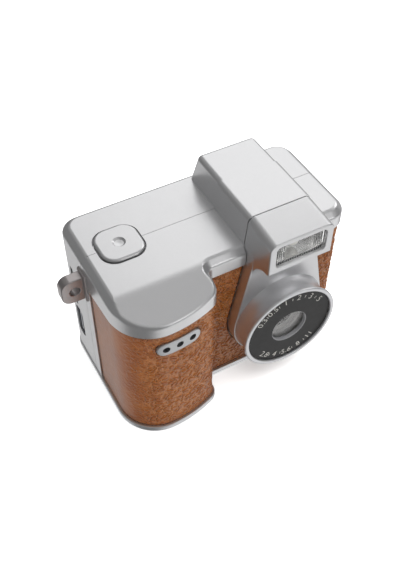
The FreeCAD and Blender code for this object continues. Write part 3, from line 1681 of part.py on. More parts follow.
def make_screen():
    """Display panel in its frame, and the cover in front of it."""
    back = "(rear_depth - rear_wall - running_gap / 2)"
    panel = block("Panel",
                  ("screen_x - screen_width / 2", f"{back} - screen_thick",
                   "screen_z - screen_height / 2"),
                  ("screen_width", "screen_thick", "screen_height"))
    node(panel, "screen_panel")
    wide = "screen_width / 2 + lens_fit"
    tall = "screen_height / 2 + lens_fit"
    frame = padded("ScreenFrame", "XZ_Plane", f"{back} - board_rear - board_gap",
                   ("screen_x", back, "screen_z"),
                   rectangle(f"{wide} + screen_frame", f"{tall} + screen_frame"),
                   rectangle(wide, tall))
    node(frame, "screen_frame")
    cover = padded("ScreenCover", "XZ_Plane", "cover_thick", ("screen_x", "rear_depth", "screen_z"),
                   rectangle("cover_width / 2", "cover_height / 2"))
    rounded(cover, "ScreenCoverCorners", "cover_round", straight_along(Y_AXIS))
    node(cover, "screen_cover")
    start = "(board_rear + board_gap + led_height + board_gap)"
    pipe = rod("LightPipe", ("light_x", "rear_depth + light_proud", "light_z"), "light_radius",
               f"rear_depth + light_proud - {start}", TO_FRONT)
    node(pipe, "status_light")
    lamp = block("StatusLed",
                 ("light_x - led_length / 2", "board_rear + board_gap", "light_z - led_width / 2"),
                 ("led_length", "led_height", "led_width"))
    node(lamp, "status_led")


def make_sound():
    """Speaker over the base cover and the microphone behind the grip's wall."""
    low = ("speaker_x - speaker_length / 2", "speaker_y - speaker_width / 2",
           "rim_height + battery_seat")
    outer = block("SpeakerCase", low, ("speaker_length", "speaker_width", "speaker_height"))
    hole = rod("SpeakerVent", ("speaker_x", "speaker_y", "0"), "speaker_width / 3",
               "rim_height + battery_seat + speaker_height / 3")
    node(cut("Speaker", outer, hole), "speaker")
    wall = "(grip_depth - leather_recess - leather_thick - wall_thick - microphone_inset)"
    capsule = rod("Microphone", ("mic_x", f"-{wall} + microphone_height", "mic_z"),
                  "microphone_radius", "microphone_height", TO_FRONT)
    node(capsule, "microphone")


def make_battery():
    """Flat cell in the grip and its two leads to the board."""
    place = (
        "-body_width / 2 + leather_recess + leather_thick + wall_thick + battery_left"
        " + battery_width / 2",
        "-battery_back",
        "rim_height + battery_seat",
    )
    half = "battery_width / 2"
    cell = padded("Battery", "XY_Plane", "battery_height", place,
                  [(f"-{half}", "-battery_thick"), (half, "-battery_thick"), (half, "0"), (f"-{half}", "0")])
    rounded(cell, "BatteryRound", "battery_round", straight_along(Z_AXIS))
    node(cell, "battery")
    right = -size.body_width / 2 + front_wall() + size.battery_left + size.battery_width
    depth = -size.battery_back - size.battery_thick / 2
    bottom = size.rim_height + size.battery_seat + size.battery_height
    end = size.board_rear - size.board_thick - size.board_gap
    leads = []
    for i in range(2):
        across = right - size.battery_round - size.lead_radius - i * size.lead_pitch
        leads.append(lead(across, depth, bottom, end))
    shell_feature("battery_leads", Part.makeCompound(leads))


def lead(across, depth, bottom, end):
    """Wire that rises from the battery and turns back to the board."""
    bend = size.lead_bend
    top = bottom + size.lead_rise
    corner = Vector(across, depth + bend, top - bend)
    half = math.sqrt(0.5) * bend
    path = Part.Wire([
        Part.LineSegment(Vector(across, depth, bottom), Vector(across, depth, top - bend)).toShape(),
        Part.Arc(Vector(across, depth, top - bend), corner + Vector(0, -half, half),
                 Vector(across, depth + bend, top)).toShape(),
        Part.LineSegment(Vector(across, depth + bend, top), Vector(across, end, top)).toShape(),
    ])
    section = Part.Wire(Part.makeCircle(size.lead_radius, Vector(across, depth, bottom), Z_AXIS))
    return path.makePipeShell([section], True, False)


def make_sensor_flex():
    """Flat ribbon from the sensor board down and back to the main board."""
    holder_back = size.front_depth - front_wall() - size.lens_fit - size.holder_base_thick
    left = size.hump_x - size.flex_width / 2
    start = -(holder_back - size.lens_fit - size.sensor_board_thick - size.board_gap)
    end = size.board_rear - size.board_thick - size.board_gap
    high = size.lens_z
    low = size.lens_z - size.flex_drop
    middle = (start + end) / 2
    pull = size.flex_drop * 0.8

    def side(shift):
        poles = [
            Vector(left, start, high + shift),
            Vector(left, middle + pull + shift, high + shift),
            Vector(left, middle - pull + shift, low + shift),
            Vector(left, end, low + shift),
        ]
        curve = Part.BezierCurve()
        curve.setPoles(poles)
        return curve.toShape()

    upper = side(size.flex_thick)
    lower = side(0)
    ends = [
        Part.LineSegment(Vector(left, y, z), Vector(left, y, z + size.flex_thick)).toShape()
        for y, z in ((start, high), (end, low))
    ]
    face = Part.Face(Part.Wire([lower, ends[1], upper, ends[0]]))
    shell_feature("sensor_flex", face.extrude(Vector(size.flex_width, 0, 0)))


def make_lug():
    """Strap lug held between the shells: plate with a hole, collar, neck and anchor."""
    inner = "(leather_recess + leather_thick + wall_thick)"
    place = ("-body_width / 2", "lug_thick / 2", "lug_z")
    lug = padded("Lug", "XZ_Plane", "lug_thick", place,
                 rectangle_from("-lug_reach", "0", "lug_height / 2"),
                 [("-lug_hole_x", "0", "lug_hole_radius")])

    def far_corner(edge):
        box = edge.BoundBox
        return straight_along(Y_AXIS)(edge) and box.XMax < -size.lug_reach + 0.01

    rounded(lug, "LugCorners", "lug_corner", far_corner)
    doc.recompute()
    neck = lug.newObject("PartDesign::Pad", "LugNeck")
    neck.Profile = sketch(lug, "NeckOutline", "XZ_Plane",
                          rectangle_from("0", f"{inner} + lens_fit", "neck_height / 2"))
    bind(neck, "Length", "lug_thick")
    doc.recompute()
    anchor = lug.newObject("PartDesign::Pad", "LugAnchor")
    anchor.Profile = sketch(lug, "AnchorOutline", "XZ_Plane",
                            rectangle_from(f"{inner} + lens_fit",
                                           f"{inner} + lens_fit + anchor_thick",
                                           "neck_height / 2 + anchor_margin"))
    bind(anchor, "Length", "lug_thick")
    doc.recompute()
    collar = lug.newObject("PartDesign::Pad", "LugCollar")
    collar.Profile = sketch(lug, "CollarOutline", "YZ_Plane", [
        ("-lug_thick - collar_margin", "-(lug_height / 2 + collar_margin)"),
        ("collar_margin", "-(lug_height / 2 + collar_margin)"),
        ("collar_margin", "lug_height / 2 + collar_margin"),
        ("-lug_thick - collar_margin", "lug_height / 2 + collar_margin"),
    ])
    collar.Reversed = True
    bind(collar, "Length", "collar_thick")
    doc.recompute()
    edge_x = -size.collar_thick

    def plate_rim(edge):
        box = edge.BoundBox
        on_face = box.YLength < 1e-4 and (abs(box.YMin) < 1e-4 or abs(box.YMin + size.lug_thick) < 1e-4)
        return on_face and box.XMax < edge_x + 0.01 and box.XMin < box.XMax - 0.01

    rounded(lug, "LugRims", "lug_edge_round", plate_rim)

    def collar_rim(edge):
        box = edge.BoundBox
        flat = box.XLength < 1e-4 and abs(box.XMin - edge_x) < 1e-4
        outer = box.YMax > size.collar_margin / 2 or box.YMin < -size.lug_thick - size.collar_margin / 2
        outer = outer or abs(box.Center.z) > (size.lug_height + size.collar_margin) / 2
        return flat and outer

    rounded(lug, "CollarRim", "collar_blend", collar_rim)
    node(lug, "strap_lug")


def rectangle_from(left, right, half_up):
    """Corners of a rectangle from one X to another."""
    return [(left, f"-({half_up})"), (right, f"-({half_up})"), (right, half_up), (left, half_up)]


def check_all():
    """Stops if an object failed or a sub-part has no valid solid."""
    doc.recompute()
    for thing in doc.Objects:
        if "Invalid" in thing.State or "Error" in thing.State:
            raise ValueError(f"{thing.Name} failed: {thing.State}")
    for thing in nodes:
        shape = thing.Shape
        if shape.isNull() or not shape.isValid() or not shape.Solids:
            raise ValueError(f"{thing.Label} has no valid solid")


make_front_shell()
make_rear_shell()
make_base_cover()
make_leather()
make_front_housing()
make_mic_plate()
make_lens()
make_sensor_flex()
make_flash()
make_shutter()
make_board()
make_keys()
make_screen()
make_sound()
make_battery()
make_lug()
make_screws()
check_all()

os.makedirs("parts", exist_ok=True)
for thing in nodes:
    thing.Shape.exportStep(os.path.join("parts", thing.Label + ".step"))
    box = thing.Shape.BoundBox
    print(f"{thing.Label}: {len(thing.Shape.Solids)} solid(s), {thing.Shape.Volume:.1f} mm3,"
          f" X {box.XMin:.2f} to {box.XMax:.2f}, Y {box.YMin:.2f} to {box.YMax:.2f},"
          f" Z {box.ZMin:.2f} to {box.ZMax:.2f}")
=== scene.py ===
"""Looks of a keychain digital camera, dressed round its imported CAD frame.

Lengths are written in millimetres and turned to metres by MM where Blender takes them.
The frame's axes hold: +X to the right seen from the front, -Y to the front, +Z up.
"""

import logging
import math
from dataclasses import dataclass
from enum import Enum

import bmesh
import bpy
import numpy as np
from mathutils import Euler, Matrix, Vector
from mathutils.bvhtree import BVHTree
from mathutils.kdtree import KDTree

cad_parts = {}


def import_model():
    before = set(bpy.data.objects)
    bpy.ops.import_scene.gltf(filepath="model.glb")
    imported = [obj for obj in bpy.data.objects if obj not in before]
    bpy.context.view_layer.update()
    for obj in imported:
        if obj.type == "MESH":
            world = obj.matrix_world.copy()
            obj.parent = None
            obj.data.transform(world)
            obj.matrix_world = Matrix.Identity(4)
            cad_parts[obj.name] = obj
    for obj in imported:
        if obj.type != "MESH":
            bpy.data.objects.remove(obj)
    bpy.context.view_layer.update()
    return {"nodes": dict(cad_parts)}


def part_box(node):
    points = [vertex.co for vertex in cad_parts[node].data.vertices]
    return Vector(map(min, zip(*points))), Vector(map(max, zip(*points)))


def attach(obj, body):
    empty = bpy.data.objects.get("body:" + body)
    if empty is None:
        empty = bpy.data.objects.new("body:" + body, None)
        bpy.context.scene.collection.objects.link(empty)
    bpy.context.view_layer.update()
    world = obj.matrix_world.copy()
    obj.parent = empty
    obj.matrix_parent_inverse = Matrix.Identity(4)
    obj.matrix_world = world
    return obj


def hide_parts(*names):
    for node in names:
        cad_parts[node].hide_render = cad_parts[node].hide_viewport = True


log = logging.getLogger("camera")

MM = 0.001
# Grains over which a finish wanders in colour and in gloss, and by how much in gloss.
COLOUR_SPAN = 6
GLOSS_SPAN = 9
GLOSS_SPREAD = 0.12

Socket = bpy.types.NodeSocket


# Small helpers


def linear(code: str) -> tuple[float, float, float, float]:
    """Turns an sRGB hex colour to the linear colour that a shader takes.

    Args:
        code: six hex digits after a hash, such as "#a86432".

    Returns:
        Red, green, blue and an alpha of one.
    """
    parts = [int(code[i : i + 2], 16) / 255 for i in (1, 3, 5)]
    lit = [p / 12.92 if p <= 0.04045 else ((p + 0.055) / 1.055) ** 2.4 for p in parts]
    return (*lit, 1.0)


def per_metre(pattern: float) -> float:
    """Texture scale that repeats about once in pattern millimetres."""
    return 1.0 / (pattern * MM)


def soft_noise(pattern: float) -> dict[str, float]:
    """Settings of a soft noise that repeats about once in pattern millimetres."""
    return {"Scale": per_metre(pattern), "Detail": 3.0, "Roughness": 0.55}


class Graph:
    """The node graph of one material or of the world.

    Attributes:
        tree: the node tree.
        here: the link that tells a node where on the object, or in which direction
            of the world, the shaded point lies.
    """

    def __init__(self, tree: bpy.types.NodeTree, place: str) -> None:
        """Empties the tree and begins it with the coordinates.

        Args:
            tree: the node tree of a material or of the world.
            place: the coordinates' output, "Object" or "Generated".
        """
        tree.nodes.clear()
        self.tree = tree
        self.here = {"Vector": self.add("TexCoord", out=place)}

    def add(
        self,
        kind: str,
        settings: dict[str | int, object] | None = None,
        links: dict[str | int, Socket] | None = None,
        out: str | int = 0,
    ) -> Socket | None:
        """Adds a node with its settings and its incoming links.

        Args:
            kind: the node's type without "ShaderNode", such as "TexNoise".
            settings: values by the name of a property or of an input socket.
            links: output sockets by the input that each one feeds.
            out: which output to return.

        Returns:
            That output, or None from a node that ends the tree.
        """
        node = self.tree.nodes.new("ShaderNode" + kind)
        for name, value in (settings or {}).items():
            if isinstance(name, str) and hasattr(node, name):
                setattr(node, name, value)
            else:
                node.inputs[name].default_value = value
        for name, source in (links or {}).items():
            self.tree.links.new(source, node.inputs[name])
        return node.outputs[out] if node.outputs else None


def link_object(name: str, data: bpy.types.ID) -> bpy.types.Object:
    """Puts a mesh or a curve into the scene as a new object at the origin.

    Args:
        name: the object's name.
        data: its mesh or curve.

    Returns:
        The new object.
    """
    made = bpy.data.objects.new(name, data)
    bpy.context.scene.collection.objects.link(made)
    return made


def evaluated_mesh(thing: bpy.types.Object) -> bpy.types.Mesh:
    """Makes a mesh of an object as its modifiers or its curve settings shape it.

    Args:
        thing: the object, which stays as it is.

    Returns:
        The new mesh.
    """
    bpy.context.view_layer.update()
    ready = thing.evaluated_get(bpy.context.evaluated_depsgraph_get())
    return bpy.data.meshes.new_from_object(ready)


def mesh_of(
    name: str, points: list[Vector], faces: list[tuple[int, ...]]
) -> bpy.types.Object:
    """Makes an object with flat faces from points in millimetres.

    Args:
        name: the object's name.
        points: corners in millimetres.
        faces: indices of each face's corners.

    Returns:
        The new object.
    """
    mesh = bpy.data.meshes.new(name)
    mesh.from_pydata([Vector(p) * MM for p in points], [], faces)
    mesh.validate()
    tidy = bmesh.new()
    tidy.from_mesh(mesh)
    bmesh.ops.recalc_face_normals(tidy, faces=tidy.faces)
    tidy.to_mesh(mesh)
    tidy.free()
    mesh.polygons.foreach_set("use_smooth", [False] * len(mesh.polygons))
    return link_object(name, mesh)


def paint(thing: bpy.types.Object, material: bpy.types.Material) -> None:
    """Gives every material slot of an object the same material.

    Args:
        thing: the object.
        material: what all of it is made of.
    """
    if not thing.material_slots:
        thing.data.materials.append(material)
    for slot in thing.material_slots:
        slot.material = material


# Finishes


@dataclass(frozen=True)
class Finish:
    """A surface finish that builds its own material.

    Attributes:
        name: the real material and how its surface was made.
        colour: sRGB hex of the surface.
        roughness: spread of the gloss, from 0 for a mirror to 1 for chalk.
        metallic: 1 for bare metal and metal flakes, 0 for the rest.
        grain: size in millimetres of the finest pattern.
        relief: height in millimetres of that pattern.
        mottle: share by which the colour wanders.
    """

    name: str
    colour: str
    roughness: float
    metallic: float = 0.0
    grain: float = 0.3
    relief: float = 0.002
    mottle: float = 0.06

    def material(self) -> bpy.types.Material:
        """Builds the material, or finds the one built before.

        Returns:
            The material, named for the finish.
        """
        known = bpy.data.materials.get(self.name)
        if known:
            return known
        made = bpy.data.materials.new(self.name)
        made.use_nodes = True
        graph = Graph(made.node_tree, "Object")
        graph.add("OutputMaterial", {}, {"Surface": self.surface(graph)})
        made.diffuse_color = linear(self.colour)
        return made

    def shader_settings(self) -> dict[str, object]:
        """Values set straight on the shader."""
        return {"Metallic": self.metallic}

    def tint(self, graph: Graph) -> Socket:
        """Colour of the surface with its wander.

        Args:
            graph: the material's nodes.

        Returns:
            The colour.
        """
        parts = linear(self.colour)[:3]
        low, high = 1 - self.mottle, 1 + self.mottle
        settings = {
            "data_type": "RGBA",
            6: (*(part * low for part in parts), 1.0),
            7: (*(min(1, part * high) for part in parts), 1.0),
        }
        noise = graph.add("TexNoise", soft_noise(self.grain * COLOUR_SPAN), graph.here)
        return graph.add("Mix", settings, {0: noise}, 2)

    def gloss(self, graph: Graph) -> Socket:
        """Roughness that wanders a little over the surface.

        Args:
            graph: the material's nodes.

        Returns:
            The roughness.
        """
        spread = {
            "To Min": self.roughness * (1 - GLOSS_SPREAD),
            "To Max": min(1.0, self.roughness * (1 + GLOSS_SPREAD)),
        }
        noise = graph.add("TexNoise", soft_noise(self.grain * GLOSS_SPAN), graph.here)
        return graph.add("MapRange", spread, {"Value": noise})

    def normal(self, graph: Graph) -> Socket:
        """Normal with the fine relief of the surface.

        Args:
            graph: the material's nodes.

        Returns:
            The normal.
        """
        noise = graph.add("TexNoise", soft_noise(self.grain), graph.here)
        return graph.add("Bump", {"Distance": self.relief * MM}, {"Height": noise})

    def surface(self, graph: Graph) -> Socket:
        """Whole shader of the finish.

        Args:
            graph: the material's nodes.

        Returns:
            The shader.
        """
        links = {
            "Base Color": self.tint(graph),
            "Roughness": self.gloss(graph),
            "Normal": self.normal(graph),
        }
        return graph.add("BsdfPrincipled", self.shader_settings(), links)


@dataclass(frozen=True)
class Coated(Finish):
    """A finish under a clear coat, which adds a sharper, weak sheen.

    Attributes:
        coat: weight of the coat.
        coat_roughness: spread of its sheen.
    """

    coat: float = 0.2
    coat_roughness: float = 0.12

    def shader_settings(self) -> dict[str, object]:
        """Values set straight on the shader."""
        sheen = {"Coat Weight": self.coat, "Coat Roughness": self.coat_roughness}
        return {**super().shader_settings(), **sheen}


@dataclass(frozen=True)
class FlakePaint(Coated):
    """Silver lacquer with metal flakes, sprayed on moulded ABS.

    The flakes give the eye a soft metal gloss that follows the light in broad
    gradients, and the clear lacquer on top adds a sharper, weak sheen. Real flakes
    are about 0.03 mm; the grain draws them at 0.1 mm or more, so that they show.

    Attributes:
        peel: length in millimetres of the slow waves in the lacquer.
    """

    peel: float = 2.4

    def normal(self, graph: Graph) -> Socket:
        """Flake sparkle over the slow waves of sprayed lacquer.

        Args:
            graph: the material's nodes.

        Returns:
            The normal.
        """
        flakes = super().normal(graph)
        waves = graph.add("TexNoise", soft_noise(self.peel), graph.here)
        links = {"Height": waves, "Normal": flakes}
        return graph.add("Bump", {"Distance": self.relief * MM}, links)


@dataclass(frozen=True)
class Leatherette(Coated):
    """Tan leatherette: a polyurethane skin embossed with a pebble grain.

    The raised pebbles catch small lights, their flanks carry a painted highlight and
    the creases carry painted shade, so the eye reads a warm brown net of fine wrinkles.

    Attributes:
        crease_shade_colour: sRGB hex of the painted shade in a crease and along the
            edges.
        flank_highlight_colour: sRGB hex of the painted highlight on the flanks beside
            it.
        warm_colour: sRGB hex of the warmer patches.
        patch: size of those patches in millimetres.
        patch_edge: noise at which a patch begins, and at which it is full.
        flank: depth at which the painted highlight on a flank begins and is full, as
            shares of the crease, and how strong it is then.
        painted_shade: the same for the painted shade.
        pebble: size in millimetres of the wrinkles between the modelled pebbles.
        upright: how much wider than tall such a wrinkle is.
        bend: span and size in millimetres of the sway of these wrinkles.
        rounding: share of a wrinkle's cell that rounds off towards its edge.
        pores: strength of the pores, and their depth as a share of the relief.
        bite: height in millimetres by which light sharpens each modelled crease.
    """

    # Painted shade in the creases and along the edges, painted highlight on the flanks.
    crease_shade_colour: str = "#3e1b0b"
    flank_highlight_colour: str = "#cc8f55"
    warm_colour: str = "#8c4e14"
    patch: float = 6.0
    patch_edge: tuple[float, float] = (0.35, 0.65)
    # Where the painted highlight and the painted shade fall across a crease.
    flank: tuple[float, float, float] = (0.3, 0.7, 0.2)
    painted_shade: tuple[float, float, float] = (0.88, 1.0, 0.35)
    pebble: float = 0.5
    upright: float = 1.2
    bend: tuple[float, float] = (2.2, 0.9)
    rounding: float = 0.22
    pores: tuple[float, float] = (0.5, 0.25)
    bite: float = 0.2

    def tint(self, graph: Graph) -> Socket:
        """Brown with warm patches, and painted highlight and shade at each crease.

        Args:
            graph: the material's nodes.

        Returns:
            The colour.
        """
        begin, full = self.patch_edge
        noise = graph.add("TexNoise", soft_noise(self.patch), graph.here)
        settings = {"From Min": begin, "From Max": full}
        warm = graph.add("MapRange", settings, {"Value": noise})
        ends = {6: linear(self.colour), 7: linear(self.warm_colour)}
        tinted = graph.add("Mix", {"data_type": "RGBA", **ends}, {0: warm}, 2)
        # Painted highlight on the flanks of each crease, and painted shade in the
        # crease and along the panel's edges, both read from the crease mark.
        crease = graph.add("Attribute", {"attribute_name": "crease"}, out="Fac")
        painted_light_and_shade = ((self.flank, self.flank_highlight_colour), (self.painted_shade, self.crease_shade_colour))
        for (begin, full, most), colour in painted_light_and_shade:
            settings = {"From Min": begin, "From Max": full, "To Max": most}
            share = graph.add("MapRange", settings, {"Value": crease})
            settings = {"data_type": "RGBA", 7: linear(colour)}
            tinted = graph.add("Mix", settings, {0: share, 6: tinted}, 2)
        return tinted

    def normal(self, graph: Graph) -> Socket:
        """Fine wrinkles and pores on the modelled pebbles, with sharper creases.

        Args:
            graph: the material's nodes.

        Returns:
            The normal.
        """
        settings = {"operation": "MULTIPLY", 1: (1.0, 1.0, self.upright)}
        stretch = graph.add("VectorMath", settings, graph.here)
        span, sway = self.bend
        settings = {"Scale": per_metre(span), "Detail": 2.0}
        bend = graph.add("TexNoise", settings, graph.here, "Color")
        settings = {"operation": "MULTIPLY_ADD", 1: (sway * MM,) * 3}
        warped = graph.add("VectorMath", settings, {0: bend, 2: stretch})
        settings = {"feature": "DISTANCE_TO_EDGE", "Scale": per_metre(self.pebble)}
        cells = graph.add("TexVoronoi", settings, {"Vector": warped}, "Distance")
        settings = {"interpolation_type": "SMOOTHSTEP", "From Max": self.rounding}
        rounded = graph.add("MapRange", settings, {"Value": cells})
        depth = self.relief * MM
        wrinkles = graph.add("Bump", {"Distance": depth}, {"Height": rounded})
        strength, share = self.pores
        noise = graph.add("TexNoise", soft_noise(self.grain), graph.here)
        settings = {"Strength": strength, "Distance": depth * share}
        pores = graph.add("Bump", settings, {"Height": noise, "Normal": wrinkles})
        crease = graph.add("Attribute", {"attribute_name": "crease"}, out="Fac")
        settings = {"Distance": self.bite * MM, "invert": True}
        return graph.add("Bump", settings, {"Height": crease, "Normal": pores})


@dataclass(frozen=True)
class Turned(Finish):
    """Surface turned round the lens axis, with fine rings left by the tool.

    The rings catch thin arcs of light, and the wall of the opening is painted paler
    as painted light over the shade that falls in it.
    Real rings are about 0.05 mm apart; they are drawn wider, so that they show.

    Attributes:
        axis: place of the lens axis across and up, in millimetres.
        pitch: distance between two rings in millimetres.
        ring_relief: height of a ring in millimetres.
        bore: radius in millimetres of the opening, or zero where there is none.
        bore_light_colour: sRGB hex of the painted light on the opening's wall.
    """

    axis: tuple[float, float] = (10.73, 16.95)
    pitch: float = 0.3
    ring_relief: float = 0.01
    bore: float = 0.0
    # Paler colour of the opening's wall: painted light over its shade.
    bore_light_colour: str = "#808082"

    def radius(self, graph: Graph) -> Socket:
        """Distance from the lens axis.

        Args:
            graph: the material's nodes.

        Returns:
            The distance in metres.
        """
        across, up = (v * MM for v in self.axis)
        settings = {"operation": "SUBTRACT", 1: (across, 0.0, up)}
        moved = graph.add("VectorMath", settings, graph.here)
        settings = {"operation": "MULTIPLY", 1: (1.0, 0.0, 1.0)}
        flat = graph.add("VectorMath", settings, {0: moved})
        return graph.add("VectorMath", {"operation": "LENGTH"}, {0: flat}, "Value")

    def tint(self, graph: Graph) -> Socket:
        """Own colour, and a paler painted light on the wall of the opening.

        Args:
            graph: the material's nodes.

        Returns:
            The colour.
        """
        base = super().tint(graph)
        if not self.bore:
            return base
        # Painted light: the wall of the opening is painted paler over its shade.
        settings = {"operation": "LESS_THAN", 1: self.bore * MM}
        inside = graph.add("Math", settings, {0: self.radius(graph)})
        settings = {"data_type": "RGBA", 7: linear(self.bore_light_colour)}
        return graph.add("Mix", settings, {0: inside, 6: base}, 2)

    def normal(self, graph: Graph) -> Socket:
        """Fine grain with the tool's rings over it.

        Args:
            graph: the material's nodes.

        Returns:
            The normal.
        """
        grain = super().normal(graph)
        settings = {"operation": "MULTIPLY", 1: 2 * math.pi / (self.pitch * MM)}
        turns = graph.add("Math", settings, {0: self.radius(graph)})
        wave = graph.add("Math", {"operation": "SINE"}, {0: turns})
        links = {"Height": wave, "Normal": grain}
        return graph.add("Bump", {"Distance": self.ring_relief * MM}, links)


@dataclass(frozen=True)
class ClearMoulding(Finish):
    """Clear acrylic or glass, polished or lightly grained.

    Light passes through it, bends, and leaves a bright sheen at its edges.

    Attributes:
        index: index of refraction.
    """

    index: float = 1.49

    def shader_settings(self) -> dict[str, object]:
        """Values set straight on the shader."""
        return {"Transmission Weight": 1.0, "IOR": self.index}


@dataclass(frozen=True)
class MaskedGlass(ClearMoulding):
    """Screen cover of clear acrylic with a black border printed on its back.

    The border reads as deep gloss black, and the middle lets the screen show.

    Attributes:
        middle: middle of the clear field across and up, in millimetres.
        half_view: half its width and half its height.
    """

    middle: tuple[float, float] = (4.7, 19.7)
    half_view: tuple[float, float] = (15.0, 11.2)

    def surface(self, graph: Graph) -> Socket:
        """Clear acrylic in the middle and gloss black round it.

        Args:
            graph: the material's nodes.

        Returns:
            The shader.
        """
        links = {"Roughness": self.gloss(graph), "Normal": self.normal(graph)}
        glass = graph.add("BsdfPrincipled", self.shader_settings(), links)
        black = {"Base Color": self.tint(graph), **links}
        border = graph.add("BsdfPrincipled", {"IOR": self.index}, black)
        outside = []
        for axis, centre, half in zip("XZ", self.middle, self.half_view):
            value = graph.add("SeparateXYZ", {}, graph.here, axis)
            for settings in (
                {"operation": "SUBTRACT", 1: centre * MM},
                {"operation": "ABSOLUTE"},
                {"operation": "GREATER_THAN", 1: half * MM},
            ):
                value = graph.add("Math", settings, {0: value})
            outside.append(value)
        masked = graph.add("Math", {"operation": "MAXIMUM"}, dict(enumerate(outside)))
        return graph.add("MixShader", {}, {0: masked, 1: glass, 2: border})


@dataclass(frozen=True)
class CircuitBoard(Finish):
    """Glass-epoxy board under green solder mask, with copper tracks.

    The tracks under the mask show as paler green lines at right angles. Real tracks
    are about 0.2 mm apart; they are drawn wider, so that they show.

    Attributes:
        track: half the distance between two tracks in millimetres.
        track_colour: sRGB hex of the mask over a track.
        edge: distance from a cell's edge up to which a track is full, and at
            which it ends, as shares of the cell.
        strength: how far the track's colour covers the mask's.
    """

    track: float = 1.1
    track_colour: str = "#5fae6a"
    edge: tuple[float, float] = (0.04, 0.1)
    strength: float = 0.55

    def tint(self, graph: Graph) -> Socket:
        """Green with paler tracks.

        Args:
            graph: the material's nodes.

        Returns:
            The colour.
        """
        base = super().tint(graph)
        settings = {
            "distance": "MANHATTAN",
            "feature": "DISTANCE_TO_EDGE",
            "Scale": per_metre(self.track * 2),
            "Randomness": 0.8,
        }
        away = graph.add("TexVoronoi", settings, graph.here, "Distance")
        full, end = self.edge
        ends = {"From Min": full, "From Max": end, "To Min": self.strength, "To Max": 0}
        share = graph.add("MapRange", ends, {"Value": away})
        settings = {"data_type": "RGBA", 7: linear(self.track_colour)}
        return graph.add("Mix", settings, {0: share, 6: base}, 2)


@dataclass(frozen=True)
class LitPanel(Finish):
    """Liquid crystal panel at rest: dark glass over a fine grid of cells.

    It reads as a deep blue-grey, a little lighter than the border round it. Real
    rows are 0.1 mm apart; they are drawn wider, so that they show.

    Attributes:
        cell: how far one row's brightness takes to turn by a radian, in
            millimetres, so that the rows lie two pi times as far apart.
        cell_colour: sRGB hex of the rows.
        strength: how far their colour covers the panel's.
    """

    cell: float = 0.35
    cell_colour: str = "#2c3442"
    strength: float = 0.25

    def tint(self, graph: Graph) -> Socket:
        """Dark blue-grey with its rows of cells.

        Args:
            graph: the material's nodes.

        Returns:
            The colour.
        """
        base = super().tint(graph)
        settings = {"bands_direction": "Z", "Scale": per_metre(self.cell * 20)}
        rows = graph.add("TexWave", settings, graph.here, "Fac")
        share = graph.add("MapRange", {"To Max": self.strength}, {"Value": rows})
        settings = {"data_type": "RGBA", 7: linear(self.cell_colour)}
        return graph.add("Mix", settings, {0: share, 6: base}, 2)


@dataclass(frozen=True)
class BacklitPaper(Finish):
    """White paper that lets through some of the light from under it.

    It keeps the floor white to the eye, with a faint shadow near the object.

    Attributes:
        glow: strength of the light that comes through.
    """

    glow: float = 0.4

    def material(self) -> bpy.types.Material:
        """Builds the material, whose own light is met only by chance, for less noise.

        Returns:
            The material.
        """
        made = super().material()
        made.cycles.emission_sampling = "NONE"
        return made

    def shader_settings(self) -> dict[str, object]:
        """Values set straight on the shader."""
        return {"Emission Color": (1, 1, 1, 1), "Emission Strength": self.glow}


# Silver lacquer on the casing: broad metal gradients under a clear coat.
SILVER = FlakePaint(
    "silver_flake_lacquer_on_abs", "#e5e5e6", 0.32, metallic=0.96, grain=0.12,
    relief=0.0004, mottle=0.015,
)
# The same lacquer on the lens barrel, sprayed drier: a softer, whiter gloss.
BARREL_SILVER = FlakePaint(
    "silver_flake_lacquer_on_barrel", "#e4e4e6", 0.35, metallic=0.9, grain=0.12,
    relief=0.0005, mottle=0.015,
)
# Thin aluminium plate of the microphone, blasted: greyer than the lacquer.
BLASTED = FlakePaint(
    "aluminium_sheet_bead_blasted", "#c9cacc", 0.34, metallic=0.96, grain=0.1,
    relief=0.0006, mottle=0.03,
)
# Embossed leatherette: warm brown, a painted highlight on the flanks, painted shade
# in the creases, small lights.
TAN = Leatherette(
    "tan_leatherette_embossed", "#824411", 0.34, grain=0.16, relief=0.006, mottle=0.1,
    coat=0.22, coat_roughness=0.2,
)
# Charcoal anodised ring: matt, dark, with a faint turned grain, and painted light
# that makes the wall of its opening paler.
RING_BLACK = Turned(
    "charcoal_anodised_aluminium_turned", "#191818", 0.5, grain=0.15, relief=0.001,
    pitch=0.25, ring_relief=0.001, bore=4.52,
)
# Pale pad print: flat and even against the dark ring.
PRINT = Finish("pale_grey_pad_print", "#b4b2ac", 0.55, grain=0.1, relief=0.0005)
# Grey print of the key symbols: soft and flat, darker than the keys.
KEY_PRINT = Finish("dark_grey_pad_print", "#4a4a4c", 0.55, grain=0.1, relief=0.0005)
# Polished acrylic of the flash window: its ribs break up what lies behind it.
ACRYLIC = ClearMoulding(
    "clear_acrylic_moulded", "#f8f8f8", 0.03, grain=1.5, relief=0.0005, mottle=0.01
)
# Optical glass of the lenses: clear, with small sharp reflections.
GLASS = ClearMoulding(
    "optical_glass_polished", "#f2f5f6", 0.01, grain=2.0, relief=0.0001, mottle=0.01,
    index=1.52,
)
# Faintly smoked glass of the lens window: it calms the glints behind it.
SMOKED = ClearMoulding(
    "smoked_glass_polished", "#e0dfdd", 0.01, grain=2.0, relief=0.0001, mottle=0.01,
    index=1.52,
)
# Glass of the infrared filter: clear, with a cool blue-green cast.
FILTER_GLASS = ClearMoulding(
    "infrared_filter_glass_polished", "#b9dce0", 0.01, grain=2.0, relief=0.0001,
    index=1.52,
)
# Milky lens of the status light: it scatters light and veils the lamp.
MILKY = ClearMoulding(
    "milky_polycarbonate_moulded", "#e9ede6", 0.35, grain=0.2, index=1.58
)
